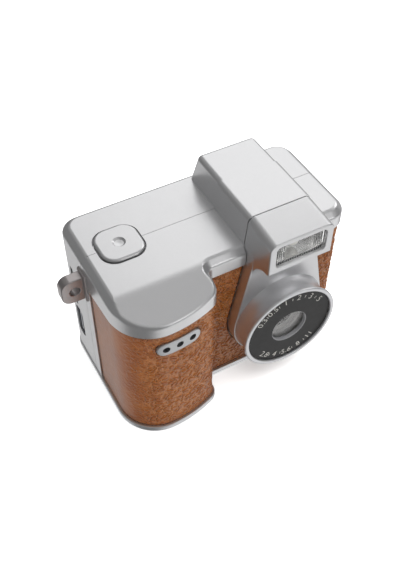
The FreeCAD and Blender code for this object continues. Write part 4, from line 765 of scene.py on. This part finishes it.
# Reflector with a vacuum-laid aluminium skin: bright, nearly a mirror.
REFLECTOR = Finish(
    "aluminised_abs_reflector", "#eaeae9", 0.18, metallic=1.0, grain=0.5, relief=0.004,
    mottle=0.03,
)
# Light emitter: phosphor under a smooth silicone dome, warm white and glossy.
LED_DOME = Finish("phosphor_silicone_dome_cast", "#efeee6", 0.12, grain=0.4)
# Light-grey baffle: matt plastic with moulded steps that soften what falls on it.
BAFFLE = Turned(
    "grey_abs_moulded_matt", "#d2d2d4", 0.45, grain=0.2, relief=0.003, pitch=0.9,
    ring_relief=0.06,
)
# Black plastic of inner mouldings: dull black with a fine moulded grain.
BLACK_ABS = Finish("black_abs_moulded_fine", "#1d1d1f", 0.5, grain=0.2, relief=0.003)
# Epoxy body of the chips: dead matt black with a sandy grain.
CHIP_EPOXY = Finish(
    "black_epoxy_moulded_chip", "#232326", 0.68, grain=0.12, relief=0.004
)
# White plastic of the plungers and the status lamp: even, with a soft gloss.
WHITE_ABS = Finish("white_abs_moulded", "#e4e3df", 0.45, grain=0.25)
# Circuit boards: a green sheen with faint paler tracks.
BOARD = CircuitBoard(
    "green_solder_mask_board", "#1f6b3a", 0.35, grain=0.4, relief=0.004
)
# Nickel-plated zinc of the strap lug: a greyer, warmer metal than the lacquer.
NICKEL = Finish(
    "nickel_plated_zinc_cast", "#c2bcbb", 0.3, metallic=1.0, grain=0.25, mottle=0.05
)
# Amber polyimide ribbon: a smooth, warm amber shine.
AMBER = Finish("amber_polyimide_film", "#b0701f", 0.25, grain=0.5)
# Zinc-plated steel of screws and sockets: cool bright metal, slightly cloudy.
STEEL = Finish(
    "zinc_plated_steel_stamped", "#b7bac0", 0.3, metallic=1.0, grain=0.15, mottle=0.08
)
# Laminated foil of the pouch battery: soft, slightly wrinkled silver grey.
FOIL_WRAP = Finish(
    "laminated_foil_pouch", "#9fa6ad", 0.38, metallic=0.8, grain=1.2, relief=0.03,
    mottle=0.05,
)
# Red insulation of the leads: plain red with a soft sheen.
RED_PVC = Finish("red_pvc_extruded", "#b3261e", 0.4, relief=0.003)
# Dark glass of the screen's panel: deep blue-grey, nearly black.
PANEL = LitPanel("dark_lcd_glass_bonded", "#161b24", 0.2, grain=0.6, relief=0.0005)
# Cover over the screen: one sharp gloss over the black border and the panel.
COVER = MaskedGlass(
    "black_bordered_acrylic_cover", "#0b0b0d", 0.05, grain=2.0, relief=0.0003
)
# Silicon of the image sensor: dark blue-grey with a metal sheen.
SENSOR = Finish(
    "image_sensor_silicon_etched", "#2b2f3f", 0.15, metallic=0.6, relief=0.0005
)
# White paper of the floor, lit through from below as on a product table.
PAPER = BacklitPaper(
    "white_paper_backlit", "#f4f4f4", 0.9, grain=2.0, relief=0.0, mottle=0.004
)


# Finish of each CAD node that keeps its own solid.
NODE_FINISHES: dict[str, Finish] = {
    "front_shell": SILVER,
    "rear_shell": SILVER,
    "base_cover": SILVER,
    "front_housing": SILVER,
    "mic_plate": BLASTED,
    "strap_lug": NICKEL,
    "shutter_button": SILVER,
    "power_key": SILVER,
    "menu_key": SILVER,
    "up_key": SILVER,
    "down_key": SILVER,
    "lens_barrel": BARREL_SILVER,
    "lens_ring": RING_BLACK,
    "lens_window": SMOKED,
    "lens_baffle": BAFFLE,
    "lens_holder": BLACK_ABS,
    "front_lens": GLASS,
    "rear_lens": GLASS,
    "infrared_filter": FILTER_GLASS,
    "image_sensor": SENSOR,
    "sensor_board": BOARD,
    "sensor_flex": AMBER,
    "flash_reflector": REFLECTOR,
    "flash_board": BOARD,
    "flash_light": LED_DOME,
    "shutter_switch": BLACK_ABS,
    "shutter_plunger": WHITE_ABS,
    "shutter_board": BOARD,
    "shutter_board_screws": STEEL,
    "main_board": BOARD,
    "processor": CHIP_EPOXY,
    "memory_chip": CHIP_EPOXY,
    "usb_port": STEEL,
    "card_socket": STEEL,
    "key_switches": BLACK_ABS,
    "power_plunger": WHITE_ABS,
    "menu_plunger": WHITE_ABS,
    "up_plunger": WHITE_ABS,
    "down_plunger": WHITE_ABS,
    "screen_panel": PANEL,
    "screen_frame": BLACK_ABS,
    "screen_cover": COVER,
    "status_light": MILKY,
    "status_led": WHITE_ABS,
    "speaker": BLACK_ABS,
    "microphone": STEEL,
    "battery": FOIL_WRAP,
    "battery_leads": RED_PVC,
    "case_screws": STEEL,
    "base_screws": STEEL,
    "board_screws": STEEL,
}


# Pieces modelled here


@dataclass
class LeatherPanel:
    """One leatherette panel, remeshed from its CAD solid and embossed.

    Attributes:
        node: the CAD node that the panel stands for.
        voxel: spacing of its rough skin in millimetres, halved on the outer face.
        pebble: width and height of a pebble in millimetres.
        crease: half-width of a crease as a share of a pebble.
        depth: depth of a crease in millimetres.
        calm: distance from a rim in which the creases fade in.
        worn: how far a face turns to the left where its grain starts to flatten,
            and where it is flattest.
        flattened: share of the grain that is gone there.
        turned_in: how far the rims are rolled inwards.
        roll: distance from a rim over which they are rolled.
        band: distance below the top that the casing's band covers, from which its
            painted shade is counted.
        painted_edge_shade: distance from a rim or from the band up to which shade is
            painted, and the part of it over which the painted shade fades.
        sway: how far the grain is bent along each axis.
        backed: most distance at which the casing lies behind the outer face.
        steepest: largest upward share of the outer face's normals.
        weld: distance within which the solid's points are joined.
        seed: number that picks the pattern.
        most: most triangles that the panel keeps.
    """

    node: str
    voxel: float = 0.26
    pebble: tuple[float, float] = (1.3, 1.5)
    crease: float = 0.36
    depth: float = 0.28
    calm: float = 0.7
    worn: tuple[float, float] = (0.45, 0.95)
    flattened: float = 0.93
    turned_in: float = 0.16
    roll: float = 0.35
    band: float = 0.3
    # Painted shade along the rims and under the casing's band.
    painted_edge_shade: tuple[float, float] = (0.32, 0.2)
    sway: tuple[float, float, float] = (0.45, 0.45, 0.35)
    backed: float = 0.9
    steepest: float = 0.5
    weld: float = 0.001
    seed: int = 7
    most: int = 190000

    def build(self, nodes: dict[str, bpy.types.Object]) -> bpy.types.Object:
        """Builds the panel and hides the CAD node that it replaces.

        Args:
            nodes: the CAD nodes by name.

        Returns:
            The embossed panel.
        """
        skin = self.remeshed(nodes[self.node])
        points, normals = self.surface(skin)
        self.refine(skin, self.faces_out(points, normals, nodes["front_shell"]))
        points, normals = self.surface(skin)
        outer = self.faces_out(points, normals, nodes["front_shell"])
        rim = self.from_rim(skin, points, outer)
        rolled = np.clip(1 - rim / self.roll, 0, 1) ** 2 * outer
        calm = np.clip(rim / self.calm, 0, 1)
        begin, flat = self.worn
        turned = np.clip((-normals[:, 0] - begin) / (flat - begin), 0, 1)
        kept = (1 - self.flattened * turned) * outer * calm * calm * (3 - 2 * calm)
        creased, height = self.creases(points / MM)
        sunk = (1 - (1 - creased) * height) * kept * self.depth
        sunk += rolled * self.turned_in
        moved = points - normals * (sunk * MM)[:, None]
        skin.data.vertices.foreach_set("co", moved.ravel())
        mark = skin.data.attributes.new("crease", "FLOAT", "POINT")
        # Painted shade along the rims and under the casing's band, kept with the
        # creases in the crease mark, which the material turns into painted shade and
        # highlight.
        under_band = (points[:, 2].max() - points[:, 2]) / MM - self.band
        nearest = np.minimum(rim, np.maximum(under_band, 0))
        reach, fade = self.painted_edge_shade
        painted_edge_shade = np.clip((reach - nearest) / fade, 0, 1) * outer
        painted_shade = np.maximum(creased * kept, painted_edge_shade)
        mark.data.foreach_set("value", painted_shade.astype(np.float32))
        skin.data.update()
        self.thin(skin)
        skin.data.polygons.foreach_set("use_smooth", [True] * len(skin.data.polygons))
        paint(skin, TAN.material())
        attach(skin, "camera")
        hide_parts(self.node)
        skin.data.calc_loop_triangles()
        log.info("%s: %d triangles", skin.name, len(skin.data.loop_triangles))
        return skin

    def thin(self, skin: bpy.types.Object) -> None:
        """Joins the smallest steps of flat places until the panel is light enough.

        Args:
            skin: the panel's object.
        """
        skin.data.calc_loop_triangles()
        count = len(skin.data.loop_triangles)
        if count <= self.most:
            return
        sparse = skin.modifiers.new("thin", "DECIMATE")
        sparse.ratio = self.most / count
        lighter = evaluated_mesh(skin)
        skin.modifiers.remove(sparse)
        skin.data = lighter

    def surface(self, skin: bpy.types.Object) -> tuple[np.ndarray, np.ndarray]:
        """Points and normals of a mesh.

        Args:
            skin: the object.

        Returns:
            Its points in metres and its normals, one row for each point.
        """
        both = []
        for kind in ("co", "normal"):
            flat = np.empty(len(skin.data.vertices) * 3)
            skin.data.vertices.foreach_get(kind, flat)
            both.append(flat.reshape(-1, 3))
        return both[0], both[1]

    def refine(self, skin: bpy.types.Object, outer: np.ndarray) -> None:
        """Halves the faces of the outer side, so that they can hold the creases.

        Args:
            skin: the panel's object.
            outer: one for each point of the outer side, zero for the rest.
        """
        fine = bmesh.new()
        fine.from_mesh(skin.data)
        fine.verts.ensure_lookup_table()
        edges = [e for e in fine.edges if all(outer[v.index] for v in e.verts)]
        bmesh.ops.subdivide_edges(fine, edges=edges, cuts=1, use_grid_fill=True)
        fine.to_mesh(skin.data)
        fine.free()

    def from_rim(
        self, skin: bpy.types.Object, points: np.ndarray, outer: np.ndarray
    ) -> np.ndarray:
        """Distance of each point from the rim of the outer side.

        Args:
            skin: the panel's object.
            points: its points.
            outer: one for each point of the outer side, zero for the rest.

        Returns:
            Distances in millimetres.
        """
        ends = np.empty(len(skin.data.edges) * 2, dtype=np.int64)
        skin.data.edges.foreach_get("vertices", ends)
        ends = ends.reshape(-1, 2)
        crossing = ends[outer[ends[:, 0]] != outer[ends[:, 1]]]
        border = np.unique(crossing)
        tree = KDTree(len(border))
        for i in border:
            tree.insert(points[i], i)
        tree.balance()
        return np.array([tree.find(point)[2] for point in points]) / MM

    def remeshed(self, source: bpy.types.Object) -> bpy.types.Object:
        """Copy of a solid with an even skin of small faces.

        Args:
            source: the CAD node's object.

        Returns:
            The new object with its modifier applied.
        """
        mesh = source.data.copy()
        joined = bmesh.new()
        joined.from_mesh(mesh)
        bmesh.ops.remove_doubles(joined, verts=joined.verts, dist=self.weld * MM)
        joined.to_mesh(mesh)
        joined.free()
        rough = link_object(self.node + "_rough", mesh)
        even = rough.modifiers.new("even", "REMESH")
        even.mode = "VOXEL"
        even.voxel_size = self.voxel * MM
        even.adaptivity = 0.0
        fine = evaluated_mesh(rough)
        fine.materials.clear()
        bpy.data.objects.remove(rough)
        return link_object(self.node + "_skin", fine)

    def faces_out(
        self, points: np.ndarray, normals: np.ndarray, shell: bpy.types.Object
    ) -> np.ndarray:
        """Tells the outer face of the panel from its back and its rims.

        Args:
            points: the skin's points.
            normals: their normals.
            shell: the casing behind the panel.

        Returns:
            One where the casing lies close behind a point, otherwise zero.
        """
        behind = BVHTree.FromObject(shell, bpy.context.evaluated_depsgraph_get())
        found = np.zeros(len(points))
        for i, (point, normal) in enumerate(zip(points, normals)):
            if abs(normal[2]) > self.steepest:
                continue
            hit = behind.ray_cast(Vector(point), -Vector(normal), self.backed * MM)
            found[i] = hit[0] is not None
        return found

    def creases(self, points: np.ndarray) -> tuple[np.ndarray, np.ndarray]:
        """Creases of the grain and the heights of the pebbles between them.

        Args:
            points: places in millimetres.

        Returns:
            For each place, 0 on a pebble to 1 in a crease, and the height of the
            nearest pebble from 0.5 to 1.
        """
        x, y, z = points.T
        # Waves of 3 to 8 mm, out of step, so that no two rows of pebbles look alike.
        waves = (z * 1.7 + y * 1.1, z * 2.1 + x * 0.8 + 2.1, x * 1.9 + z * 0.9 + 1.3)
        bent = points + np.array(self.sway) * np.sin(np.stack(waves, axis=1))
        width, height = self.pebble
        cells = bent / np.array([width, width, height])
        near, second, height = self.cell_distances(cells)
        edge = np.clip((second - near) / self.crease, 0, 1)
        return 1 - edge * edge * (3 - 2 * edge), 0.5 + 0.5 * height

    def cell_distances(self, cells: np.ndarray) -> tuple[np.ndarray, ...]:
        """Distances from each place to the two nearest cell middles.

        Args:
            cells: places counted in cells.

        Returns:
            The nearest and the second nearest distance, and a height from 0 to 1
            of the nearest cell.
        """
        corner = np.floor(cells).astype(np.int64)
        near = second = np.full(len(cells), np.inf)
        height = np.zeros(len(cells))
        for step in np.ndindex(3, 3, 3):
            cell = corner + np.array(step) - 1
            offset = self.scatter(cell)
            away = np.linalg.norm(cells - cell - offset, axis=1)
            height = np.where(away < near, offset[:, 0], height)
            second = np.minimum(second, np.maximum(near, away))
            near = np.minimum(near, away)
        return near, second, height

    def scatter(self, cell: np.ndarray) -> np.ndarray:
        """Steady random place of each cell's middle, from a hash of its corner.

        Args:
            cell: corners of cells, counted in cells.

        Returns:
            Offsets from 0 to 1 along each axis.
        """
        key = cell[:, 0] * 73856093 ^ cell[:, 1] * 19349663 ^ cell[:, 2] * 83492791
        offsets = []
        for axis in range(3):
            mixed = (key + self.seed * 2654435761 + axis * 97003) & 0xFFFFFFFF
            for _ in range(2):
                mixed = ((mixed ^ (mixed >> 16)) * 0x45D9F3B) & 0xFFFFFFFF
            offsets.append(((mixed ^ (mixed >> 16)) & 0xFFFF) / 0xFFFF)
        return np.stack(offsets, axis=1)


@dataclass
class FlashWindow:
    """Clear window of the flash with prism ribs moulded in its back.

    Attributes:
        rib_pitch: spacing of the ribs in millimetres.
        rib_depth: depth of the ribs.
        ribbed: width of the ribbed zone at each end.
        stud_pitch: spacing of the studs along the top and the bottom.
        stud_depth: depth of the studs.
        studded: height of the rows of studs.
        columns: number of strips across the window.
        rows: number of strips up the window.
    """

    rib_pitch: float = 0.5
    rib_depth: float = 0.15
    ribbed: float = 2.9
    stud_pitch: float = 0.55
    stud_depth: float = 0.2
    studded: float = 0.6
    columns: int = 232
    rows: int = 36

    def build(self) -> bpy.types.Object:
        """Builds the window in the place of its CAD node.

        Returns:
            The ribbed window.
        """
        low, high = (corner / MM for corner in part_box("flash_window"))
        front, back = [], []
        for row in range(self.rows + 1):
            up = low.z + (high.z - low.z) * row / self.rows
            for column in range(self.columns + 1):
                across = low.x + (high.x - low.x) * column / self.columns
                front.append(Vector((across, low.y, up)))
                side = min(across - low.x, high.x - across)
                sunk = self.sink(side, up - low.z, high.z - up)
                back.append(Vector((across, high.y - sunk, up)))
        faces = self.sheets(len(front))
        window = mesh_of("flash_window_ribbed", front + back, faces)
        paint(window, ACRYLIC.material())
        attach(window, "camera")
        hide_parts("flash_window")
        log.info("%s: %d faces", window.name, len(faces))
        return window

    def sink(self, side: float, below: float, above: float) -> float:
        """Depth of the moulded pattern at a place on the back.

        Args:
            side: distance from the nearer end of the window in millimetres.
            below: distance from its lower edge.
            above: distance from its upper edge.

        Returns:
            The depth in millimetres.
        """
        if side < self.ribbed:
            return self.rib_depth * abs(side / self.rib_pitch % 1 * 2 - 1)
        if min(below, above) < self.studded:
            return self.stud_depth * abs(side / self.stud_pitch % 1 * 2 - 1)
        return 0.0

    def sheets(self, count: int) -> list[tuple[int, ...]]:
        """Faces of the front sheet, the back sheet and the rim between them.

        Args:
            count: number of points in one sheet.

        Returns:
            The faces.
        """
        wide = self.columns + 1
        faces: list[tuple[int, ...]] = []
        for row in range(self.rows):
            for column in range(self.columns):
                a = row * wide + column
                quad = (a, a + 1, a + 1 + wide, a + wide)
                faces.append(quad)
                faces.append(tuple(count + i for i in reversed(quad)))
        bottom = list(range(wide))
        right = [row * wide + self.columns for row in range(self.rows + 1)]
        top = [self.rows * wide + i for i in range(wide)]
        left = [row * wide for row in range(self.rows + 1)]
        for edge in (bottom, right, top, left):
            for a, b in zip(edge, edge[1:]):
                faces.append((a, b, b + count, a + count))
        return faces


@dataclass
class RingScale:
    """Printed numbers and marks on the face of the lens ring.

    Attributes:
        upper: numbers on the upper arc, from left to right.
        lower: numbers on the lower arc, from left to right.
        radius: distance of the numbers' middle from the lens axis.
        height: height of a number's line.
        thin: how far each stroke is drawn in from its outline.
        thick: thickness of the print.
        upper_span: degrees between the first and the last upper number.
        lower_span: the same on the lower arc.
        mark: width and length of the marks between the numbers.
        smoothness: steps in each curve of a digit.
    """

    upper: tuple[str, ...] = ("0.3", "0.5", "1", "2", "3", "5")
    lower: tuple[str, ...] = ("2.8", "4", "5.6", "8", "11")
    radius: float = 9.1
    height: float = 2.3
    thin: float = 0.025
    thick: float = 0.03
    upper_span: float = 108.0
    lower_span: float = 84.0
    mark: tuple[float, float] = (0.14, 0.7)
    smoothness: int = 3

    def build(self) -> bpy.types.Object:
        """Builds the print on the ring.

        Returns:
            One mesh with all numbers and marks.
        """
        low, high = (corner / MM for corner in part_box("lens_ring"))
        centre = Vector(((low.x + high.x) / 2, low.y, (low.z + high.z) / 2))
        whole = bmesh.new()
        arcs = ((self.upper, self.upper_span, 1), (self.lower, self.lower_span, -1))
        for words, span, side in arcs:
            for i, word in enumerate(words):
                step = math.radians(span / (len(words) - 1))
                turn = step * (i - (len(words) - 1) / 2)
                self.place(whole, self.glyphs(word), centre, turn, side)
                if i:
                    self.place(whole, self.stroke(), centre, turn - step / 2, side)
        mesh = bpy.data.meshes.new("ring_numbers")
        whole.to_mesh(mesh)
        whole.free()
        printed = link_object("ring_numbers", mesh)
        paint(printed, PRINT.material())
        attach(printed, "camera")
        log.info("%s: %d faces", printed.name, len(mesh.polygons))
        return printed

    def glyphs(self, word: str) -> bpy.types.Mesh:
        """Flat raised digits of one number, centred on the origin.

        Args:
            word: the number's digits.

        Returns:
            Their mesh, in metres.
        """
        curve = bpy.data.curves.new("number", "FONT")
        curve.body = word
        curve.align_x = "CENTER"
        curve.align_y = "CENTER"
        curve.size = self.height * MM
        curve.offset = -self.thin * MM
        curve.extrude = self.thick / 2 * MM
        curve.resolution_u = self.smoothness
        holder = link_object("number", curve)
        made = evaluated_mesh(holder)
        bpy.data.objects.remove(holder)
        bpy.data.curves.remove(curve)
        return made

    def stroke(self) -> bpy.types.Mesh:
        """Short upright mark, centred on the origin.

        Returns:
            Its mesh, in metres.
        """
        wide, tall = (v / 2 * MM for v in self.mark)
        deep = self.thick / 2 * MM
        square = ((-1, -1), (1, -1), (1, 1), (-1, 1))
        corners = [(x * wide, y * tall, z * deep) for z in (-1, 1) for x, y in square]
        rim = [(i, (i + 1) % 4, (i + 1) % 4 + 4, i + 4) for i in range(4)]
        made = bpy.data.meshes.new("mark")
        made.from_pydata(corners, [], [(3, 2, 1, 0), (4, 5, 6, 7), *rim])
        return made

    def place(
        self,
        whole: bmesh.types.BMesh,
        part: bpy.types.Mesh,
        centre: Vector,
        turn: float,
        side: int,
    ) -> None:
        """Adds one number or mark to the print.

        Args:
            whole: the mesh that gets it.
            part: the number or mark, which is used up.
            centre: middle of the ring's face in millimetres.
            turn: angle from straight up or straight down, growing to the right.
            side: 1 on the upper arc, -1 on the lower arc.
        """
        upright = Matrix.Rotation(math.radians(90), 4, "X")
        spin = Matrix.Rotation(turn if side > 0 else -turn, 4, "Y")
        outward = Vector((math.sin(turn), 0, side * math.cos(turn)))
        spot = centre + outward * self.radius - Vector((0, self.thick / 2, 0))
        part.transform(Matrix.Translation(spot * MM) @ spin @ upright)
        whole.from_mesh(part)
        bpy.data.meshes.remove(part)


class Symbol(Enum):
    """Symbol printed on each key of the back."""

    POWER = "power"
    MENU = "menu"
    UP = "up"
    DOWN = "down"


@dataclass
class KeySymbols:
    """Printed symbols in the dishes of the four keys.

    Attributes:
        reach: half-height of a symbol in millimetres.
        stroke: width of its lines.
        thick: thickness of the print.
        dish: depth of the key's dish below its rim.
        foot: how far an arrow's foot lies from its middle, as a share of the reach.
        tip: the same for its tip.
        line: the same for the outer lines of the menu.
        gap: degrees of the power ring where its opening ends and how far it goes on.
        steps: steps in that ring.
        bar: where the power bar begins, and its end as a share of the reach.
    """

    reach: float = 0.75
    stroke: float = 0.22
    thick: float = 0.03
    dish: float = 0.2
    foot: float = 0.6
    tip: float = 0.8
    line: float = 0.7
    gap: tuple[float, float] = (125, 290)
    steps: int = 24
    bar: tuple[float, float] = (0.1, 1.25)

    def build(self) -> list[bpy.types.Object]:
        """Builds one print for each key, riding on the key's body.

        Returns:
            The four prints.
        """
        made = []
        for symbol in Symbol:
            low, high = (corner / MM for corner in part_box(symbol.value + "_key"))
            middle = (low + high) / 2
            middle.y = high.y - self.dish
            points: list[Vector] = []
            faces: list[tuple[int, ...]] = []
            for outline in self.outlines(symbol):
                self.raise_outline(points, faces, outline, middle)
            printed = mesh_of(symbol.value + "_symbol", points, faces)
            paint(printed, KEY_PRINT.material())
            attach(printed, symbol.value)
            made.append(printed)
        log.info("key symbols: %d", len(made))
        return made

    def outlines(self, symbol: Symbol) -> list[list[tuple[float, float]]]:
        """Closed outlines of a symbol about its middle.

        Args:
            symbol: which symbol.

        Returns:
            Lists of corners (across, up) in millimetres.
        """
        reach, half = self.reach, self.stroke / 2
        foot, tip, line = (reach * share for share in (self.foot, self.tip, self.line))
        if symbol is Symbol.UP:
            return [[(-reach, -foot), (reach, -foot), (0, tip)]]
        if symbol is Symbol.DOWN:
            return [[(-reach, foot), (0, -tip), (reach, foot)]]
        if symbol is Symbol.MENU:
            rows = (-line, 0.0, line)
            return [self.rectangle(reach, y - half, y + half) for y in rows]
        begin, sweep = self.gap
        turns = [begin + sweep * i / self.steps for i in range(self.steps + 1)]
        ring = [(math.cos(math.radians(a)), math.sin(math.radians(a))) for a in turns]
        outer, inner = reach + half, reach - half
        arc = [(x * outer, y * outer) for x, y in ring]
        arc += [(x * inner, y * inner) for x, y in reversed(ring)]
        low, high = self.bar
        return [arc, self.rectangle(half, low, reach * high)]

    def rectangle(
        self, half: float, low: float, high: float
    ) -> list[tuple[float, float]]:
        """Corners of a rectangle of half its width on each side, from low to high."""
        return [(-half, low), (half, low), (half, high), (-half, high)]

    def raise_outline(
        self,
        points: list[Vector],
        faces: list[tuple[int, ...]],
        outline: list[tuple[float, float]],
        middle: Vector,
    ) -> None:
        """Adds one raised outline to the lists of a mesh.

        Args:
            points: corners so far, which grow.
            faces: faces so far, which grow.
            outline: corners (across, up).
            middle: where the outline's middle lies.
        """
        first, count = len(points), len(outline)
        for lift in (0.0, self.thick):
            for across, up in outline:
                points.append(middle + Vector((across, lift, up)))
        for base in (first, first + count):
            if count > self.steps:
                # The ring is covered by one quad for each of its steps.
                for i in range(self.steps):
                    last = base + count - 1 - i
                    faces.append((base + i, base + i + 1, last - 1, last))
            else:
                faces.append(tuple(range(base, base + count)))
        for i in range(count):
            a, b = first + i, first + (i + 1) % count
            faces.append((a, b, b + count, a + count))


# Studio


@dataclass(frozen=True)
class Glow:
    """A soft patch of light in the studio's tent.

    Attributes:
        towards: direction in which the patch lies.
        strength: how bright its middle is.
        inner: degrees from its middle to where it starts to fade.
        outer: degrees to where it has faded out.
    """

    towards: tuple[float, float, float]
    strength: float
    inner: float
    outer: float


@dataclass
class Studio:
    """Camera, pale floor and soft light round the object.

    Attributes:
        camera_place: the camera's place in millimetres.
        camera_turn: its rotation in degrees.
        lens: focal length in millimetres on a 36 mm frame.
        nearest: closest distance that the camera sees, in millimetres.
        dim: brightness of the tent where no patch lies.
        glows: patches of light in the tent.
        panel_place: where the light panel hangs, in millimetres.
        panel_aim: the point that it looks at.
        panel_side: length of its side.
        panel_power: its power in watts.
        floor_half: half the side of the floor in millimetres.
        floor_drop: how far it lies under the object.
    """

    camera_place: tuple[float, float, float] = (-60.66, -107.94, 156.96)
    camera_turn: tuple[float, float, float] = (41.3196, -0.2044, -28.7685)
    lens: float = 50.0
    nearest: float = 5.0
    dim: float = 0.17
    glows: tuple[Glow, ...] = (
        Glow((0.45, 0.68, 0.57), 0.92, 14.0, 27.0),
        Glow((-0.24, 0.66, 0.71), 0.10, 8.0, 30.0),
        Glow((0.30, -0.25, 0.92), 0.25, 10.0, 60.0),
        Glow((0.84, 0.18, 0.50), 2.10, 3.0, 19.0),
        Glow((0.38, -0.84, 0.38), 1.50, 4.0, 16.0),
        Glow((0.45, -0.60, -0.66), 0.58, 15.0, 48.0),
        Glow((0.74, -0.22, -0.64), 0.20, 4.0, 28.0),
        Glow((-0.40, 0.50, -0.77), 0.44, 8.0, 40.0),
        Glow((0.85, 0.45, -0.25), 0.22, 15.0, 50.0),
    )
    panel_place: tuple[float, float, float] = (100.0, -100.0, 1200.0)
    panel_aim: tuple[float, float, float] = (0.0, -4.0, 20.0)
    panel_side: float = 1300.0
    panel_power: float = 24.0
    floor_half: float = 3000.0
    floor_drop: float = 0.05

    def build(self) -> None:
        """Builds the whole studio."""
        bpy.context.scene.view_settings.view_transform = "Standard"
        self.place_camera()
        self.light_tent()
        self.lay_floor()
        self.hang_panel()

    def place_camera(self) -> None:
        """Sets the camera at the photograph's viewing angle."""
        data = bpy.data.cameras.new("view")
        data.lens = self.lens
        data.sensor_width = 36.0
        data.clip_start = self.nearest * MM
        camera = bpy.data.objects.new("view", data)
        camera.location = Vector(self.camera_place) * MM
        camera.rotation_euler = Euler([math.radians(a) for a in self.camera_turn])
        bpy.context.scene.collection.objects.link(camera)
        bpy.context.scene.camera = camera

    def light_tent(self) -> None:
        """Fills the world with a dim tent and its patches of light."""
        world = bpy.data.worlds.new("tent")
        world.use_nodes = True
        bpy.context.scene.world = world
        graph = Graph(world.node_tree, "Generated")
        sky: dict[str | int, Socket] = {}
        for glow in self.glows:
            aim = {"operation": "DOT_PRODUCT", 1: Vector(glow.towards).normalized()}
            near = graph.add("VectorMath", aim, graph.here, "Value")
            fade = {
                "interpolation_type": "SMOOTHERSTEP",
                "From Min": math.cos(math.radians(glow.outer)),
                "From Max": math.cos(math.radians(glow.inner)),
                "To Max": glow.strength,
            }
            soft = graph.add("MapRange", fade, {"Value": near})
            sky = {0: graph.add("Math", {0: self.dim}, {**sky, 1: soft})}
        white = {"Color": (1.0, 1.0, 1.0, 1.0)}
        tent = graph.add("Background", white, {"Strength": sky[0]})
        sheet = graph.add("Background", {**white, "Strength": 1.0})
        seen = graph.add("LightPath", out="Is Camera Ray")
        both = graph.add("MixShader", {}, {0: seen, 1: tent, 2: sheet})
        graph.add("OutputWorld", {}, {"Surface": both})

    def lay_floor(self) -> None:
        """Lays a wide sheet of white paper under the object."""
        half = self.floor_half
        corners = [(-half, -half), (half, -half), (half, half), (-half, half)]
        points = [Vector((x, y, -self.floor_drop)) for x, y in corners]
        floor = mesh_of("floor", points, [(0, 1, 2, 3)])
        paint(floor, PAPER.material())
        floor.visible_glossy = False

    def hang_panel(self) -> None:
        """Hangs a square light panel over the object, which no gloss shows."""
        data = bpy.data.lights.new("top_panel", "AREA")
        data.size = self.panel_side * MM
        data.energy = self.panel_power
        panel = bpy.data.objects.new("top_panel", data)
        panel.location = Vector(self.panel_place) * MM
        towards = Vector(self.panel_aim) - Vector(self.panel_place)
        panel.rotation_euler = towards.to_track_quat("-Z", "Y").to_euler()
        panel.visible_glossy = False
        bpy.context.scene.collection.objects.link(panel)


def main() -> None:
    """Dresses the frame, adds the modelled pieces and lights the studio."""
    logging.basicConfig(level=logging.INFO, format="%(message)s")
    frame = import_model()
    nodes = frame["nodes"]
    Studio().build()
    for node, finish in NODE_FINISHES.items():
        paint(nodes[node], finish.material())
    log.info("dressed %d CAD nodes", len(NODE_FINISHES))
    for node in ("grip_leather", "side_leather"):
        LeatherPanel(node).build(nodes)
    FlashWindow().build()
    RingScale().build()
    KeySymbols().build()


if __name__ == "__main__":
    main()
